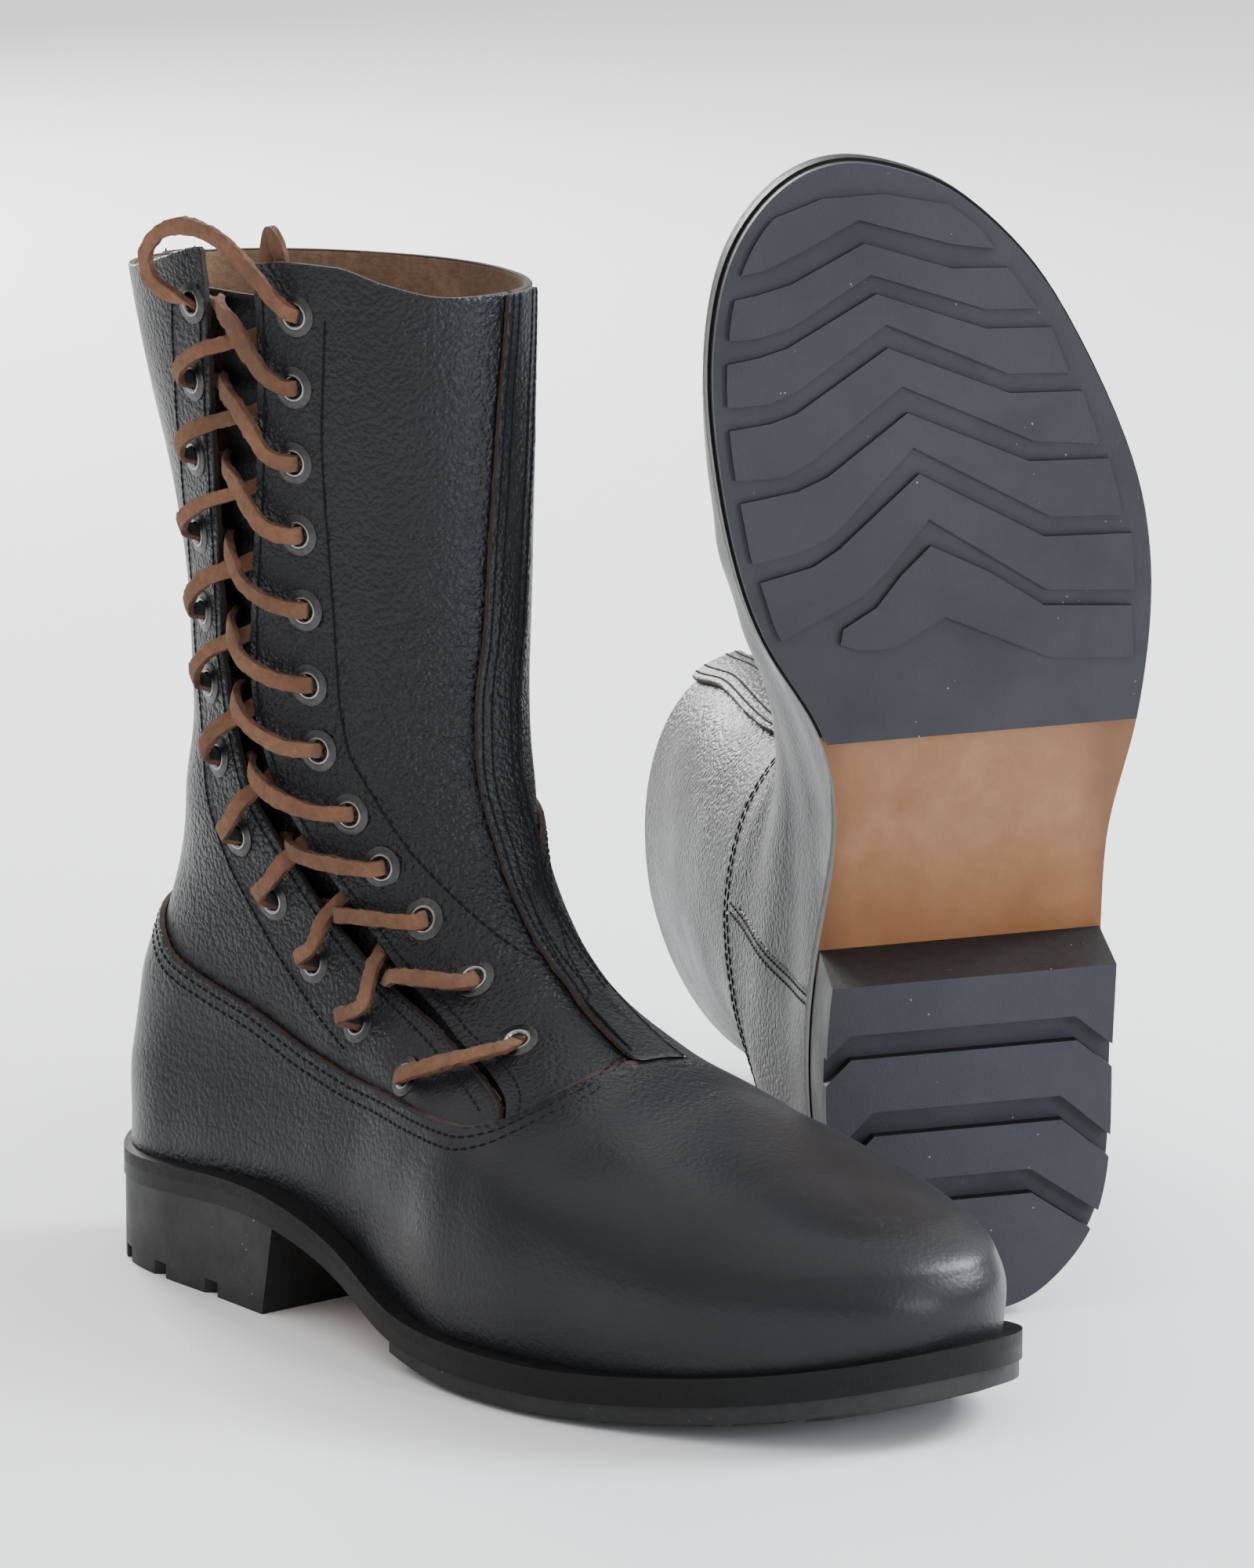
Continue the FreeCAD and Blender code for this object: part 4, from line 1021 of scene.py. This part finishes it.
brown_edge = raw_edge("brown_raw_edge", (0.062, 0.026, 0.015), (0.018, 0.008, 0.006))
dark_edge = raw_edge("dark_raw_edge", (0.030, 0.016, 0.011), (0.009, 0.006, 0.005))
lining = suede("brown_lining", (0.300, 0.185, 0.120), (0.170, 0.100, 0.062))
lace_brown = suede("brown_lace", (0.270, 0.130, 0.070), (0.135, 0.062, 0.034), 1.8)
lace_side = raw_edge("brown_lace_side", (0.130, 0.050, 0.024), (0.042, 0.017, 0.010))
lace_black = raw_edge("black_lace_face", (0.020, 0.018, 0.018), (0.010, 0.009, 0.009))
cotton = thread("black_thread")
metal = gunmetal("gunmetal", 0.085, 0.34)
bright_metal = gunmetal("polished_gunmetal", 0.36, 0.2)
waxed = plain_fibre("waxed_black_edge", (0.006, 0.006, 0.006), (0.002, 0.002, 0.002), 500.0, rough=0.6)
cork = plain_fibre("cork", (0.42, 0.29, 0.17), (0.20, 0.12, 0.06), 400.0)
insole = suede("insole_leather", (0.36, 0.24, 0.15), (0.24, 0.15, 0.09), 0.6)
fibre_board = plain_fibre("fibre_board", (0.30, 0.22, 0.15), (0.19, 0.13, 0.09))
steel = plain_fibre("spring_steel", (0.45, 0.45, 0.46), (0.30, 0.30, 0.31), 700.0, 1.0, 0.35)
brass = plain_fibre("brass_nail", (0.62, 0.45, 0.18), (0.42, 0.28, 0.10), 700.0, 1.0, 0.4)


def side_looks(side):
    """One boot's materials: face, edge and back of each new sheet, and that of each kept CAD node."""
    black = grain_leather(f"{side}_black_leather", side)
    strip = grain_leather(f"{side}_strip_leather", side, 0.85, 0.6, 0.03)
    tongue = grain_leather(f"{side}_tongue_leather", side, 0.9, 0.7, 0.12)
    slate = rubber(f"{side}_rubber", side)
    panel, edged, strap = (black, dark_edge, lining), (black, brown_edge, lining), (strip, brown_edge, lining)
    sheets = {"front_panel": panel, "rear_panel": panel, "inner_panel": panel, "shin_strip": strap,
              "back_strip": strap, "galosh": edged, "inner_quarter": edged,
              "tongue": (tongue, dark_edge, tongue)}
    kept = {"welt": waxed, "cork_filler": cork, "shank": steel, "insole": insole, "half_sole": slate,
            "heel_block": slate, "heel_nails": brass, "heel_counter": fibre_board,
            "toe_puff": fibre_board, "midsole": sole_leather(f"{side}_sole_leather", side)}
    return sheets, kept


UNCUT = ("galosh", "inner_quarter")     # the sheets that the CAD doesn't cut at the ankle


def bent(thing):
    """Bakes the piece's placement into its mesh points."""
    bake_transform(thing)


def paint(node, material):
    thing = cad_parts[node]
    thing.data.materials.clear()
    thing.data.materials.append(material)


for boot, side in enumerate(("right", "left")):
    sheets, kept = side_looks(side)
    for name, looks in sheets.items():
        sheet = make_mesh(name, side, SHEETS[name], looks)
        nodes = [name] if name in UNCUT else [f"{name}_lower", f"{name}_upper"]
        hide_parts(*[f"{side}_{node}" for node in nodes])
        bent(sheet)
    stitches = make_mesh("stitching", side, THREADS, [cotton], 180)
    bent(stitches)
    rings = make_mesh("eyelets", side, RINGS, [metal, bright_metal], 50)
    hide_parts(f"{side}_eyelets_lower", f"{side}_eyelets_upper")
    bent(rings)
    lace = make_mesh("lace", side, lace_shape(LACE_SEED + boot), [lace_brown, lace_black, lace_side], 60)
    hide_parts(f"{side}_lace_lower", f"{side}_lace_upper")
    bent(lace)
    for name, material in kept.items():
        paint(f"{side}_{name}", material)

# --- Floor, light and camera ---
floor_mesh = bpy.data.meshes.new("floor")
floor_mesh.from_pydata([(-30, -30, 0), (30, -30, 0), (30, 60, 0), (-30, 60, 0)], [], [(0, 1, 2, 3)])
floor_mesh.materials.append(backdrop("pale_floor"))
floor = new_object("floor", floor_mesh)

world = bpy.data.worlds.new("studio")
bpy.context.scene.world = world
world.use_nodes = True
nodes, links = world.node_tree.nodes, world.node_tree.links
sky = nodes["Background"]
sky.inputs[0].default_value = (1.0, 1.0, 1.0, 1.0)
direction = nodes.new("ShaderNodeTexCoord")
height = nodes.new("ShaderNodeSeparateXYZ")
brightness = nodes.new("ShaderNodeMapRange")
for socket, value in (("From Min", 0.0), ("From Max", 0.8), ("To Min", 0.42), ("To Max", 1.55)):
    brightness.inputs[socket].default_value = value
links.new(direction.outputs["Generated"], height.inputs[0])
links.new(height.outputs[2], brightness.inputs["Value"])
links.new(brightness.outputs[0], sky.inputs[1])


def softbox(name, place, target, size, power, color):
    lamp = bpy.data.lights.new(name, "AREA")
    lamp.shape = "RECTANGLE"
    lamp.size, lamp.size_y = size
    lamp.energy, lamp.color = power, color
    thing = new_object(name, lamp)
    thing.location = place
    look = np.array(target) - np.array(place)
    level = math.hypot(look[0], look[1])
    thing.rotation_euler = (math.pi / 2 + math.atan2(look[2], level), 0, math.atan2(-look[0], look[1]))


softbox("back_softbox", (-0.5, 2.25, 0.95), (0, 0, 0.15), (0.7, 0.9), 62, (1.0, 1.0, 0.98))
softbox("right_softbox", (1.5, 0.1, 1.2), (0, 0, 0.12), (0.8, 0.8), 62, (0.86, 0.93, 1.0))
softbox("front_softbox", (1.5, -1.9, 0.6), (0, 0, 0.15), (0.5, 0.9), 26, (0.84, 0.9, 1.0))

lens = bpy.data.cameras.new("camera")
lens.lens, lens.sensor_width = LENS, 36.0
camera = new_object("camera", lens)
camera.location = [c * MM for c in CAMERA_PLACE]
camera.rotation_euler = (math.radians(90 - CAMERA_DIP), 0, math.radians(CAMERA_TURN))
bpy.context.scene.camera = camera
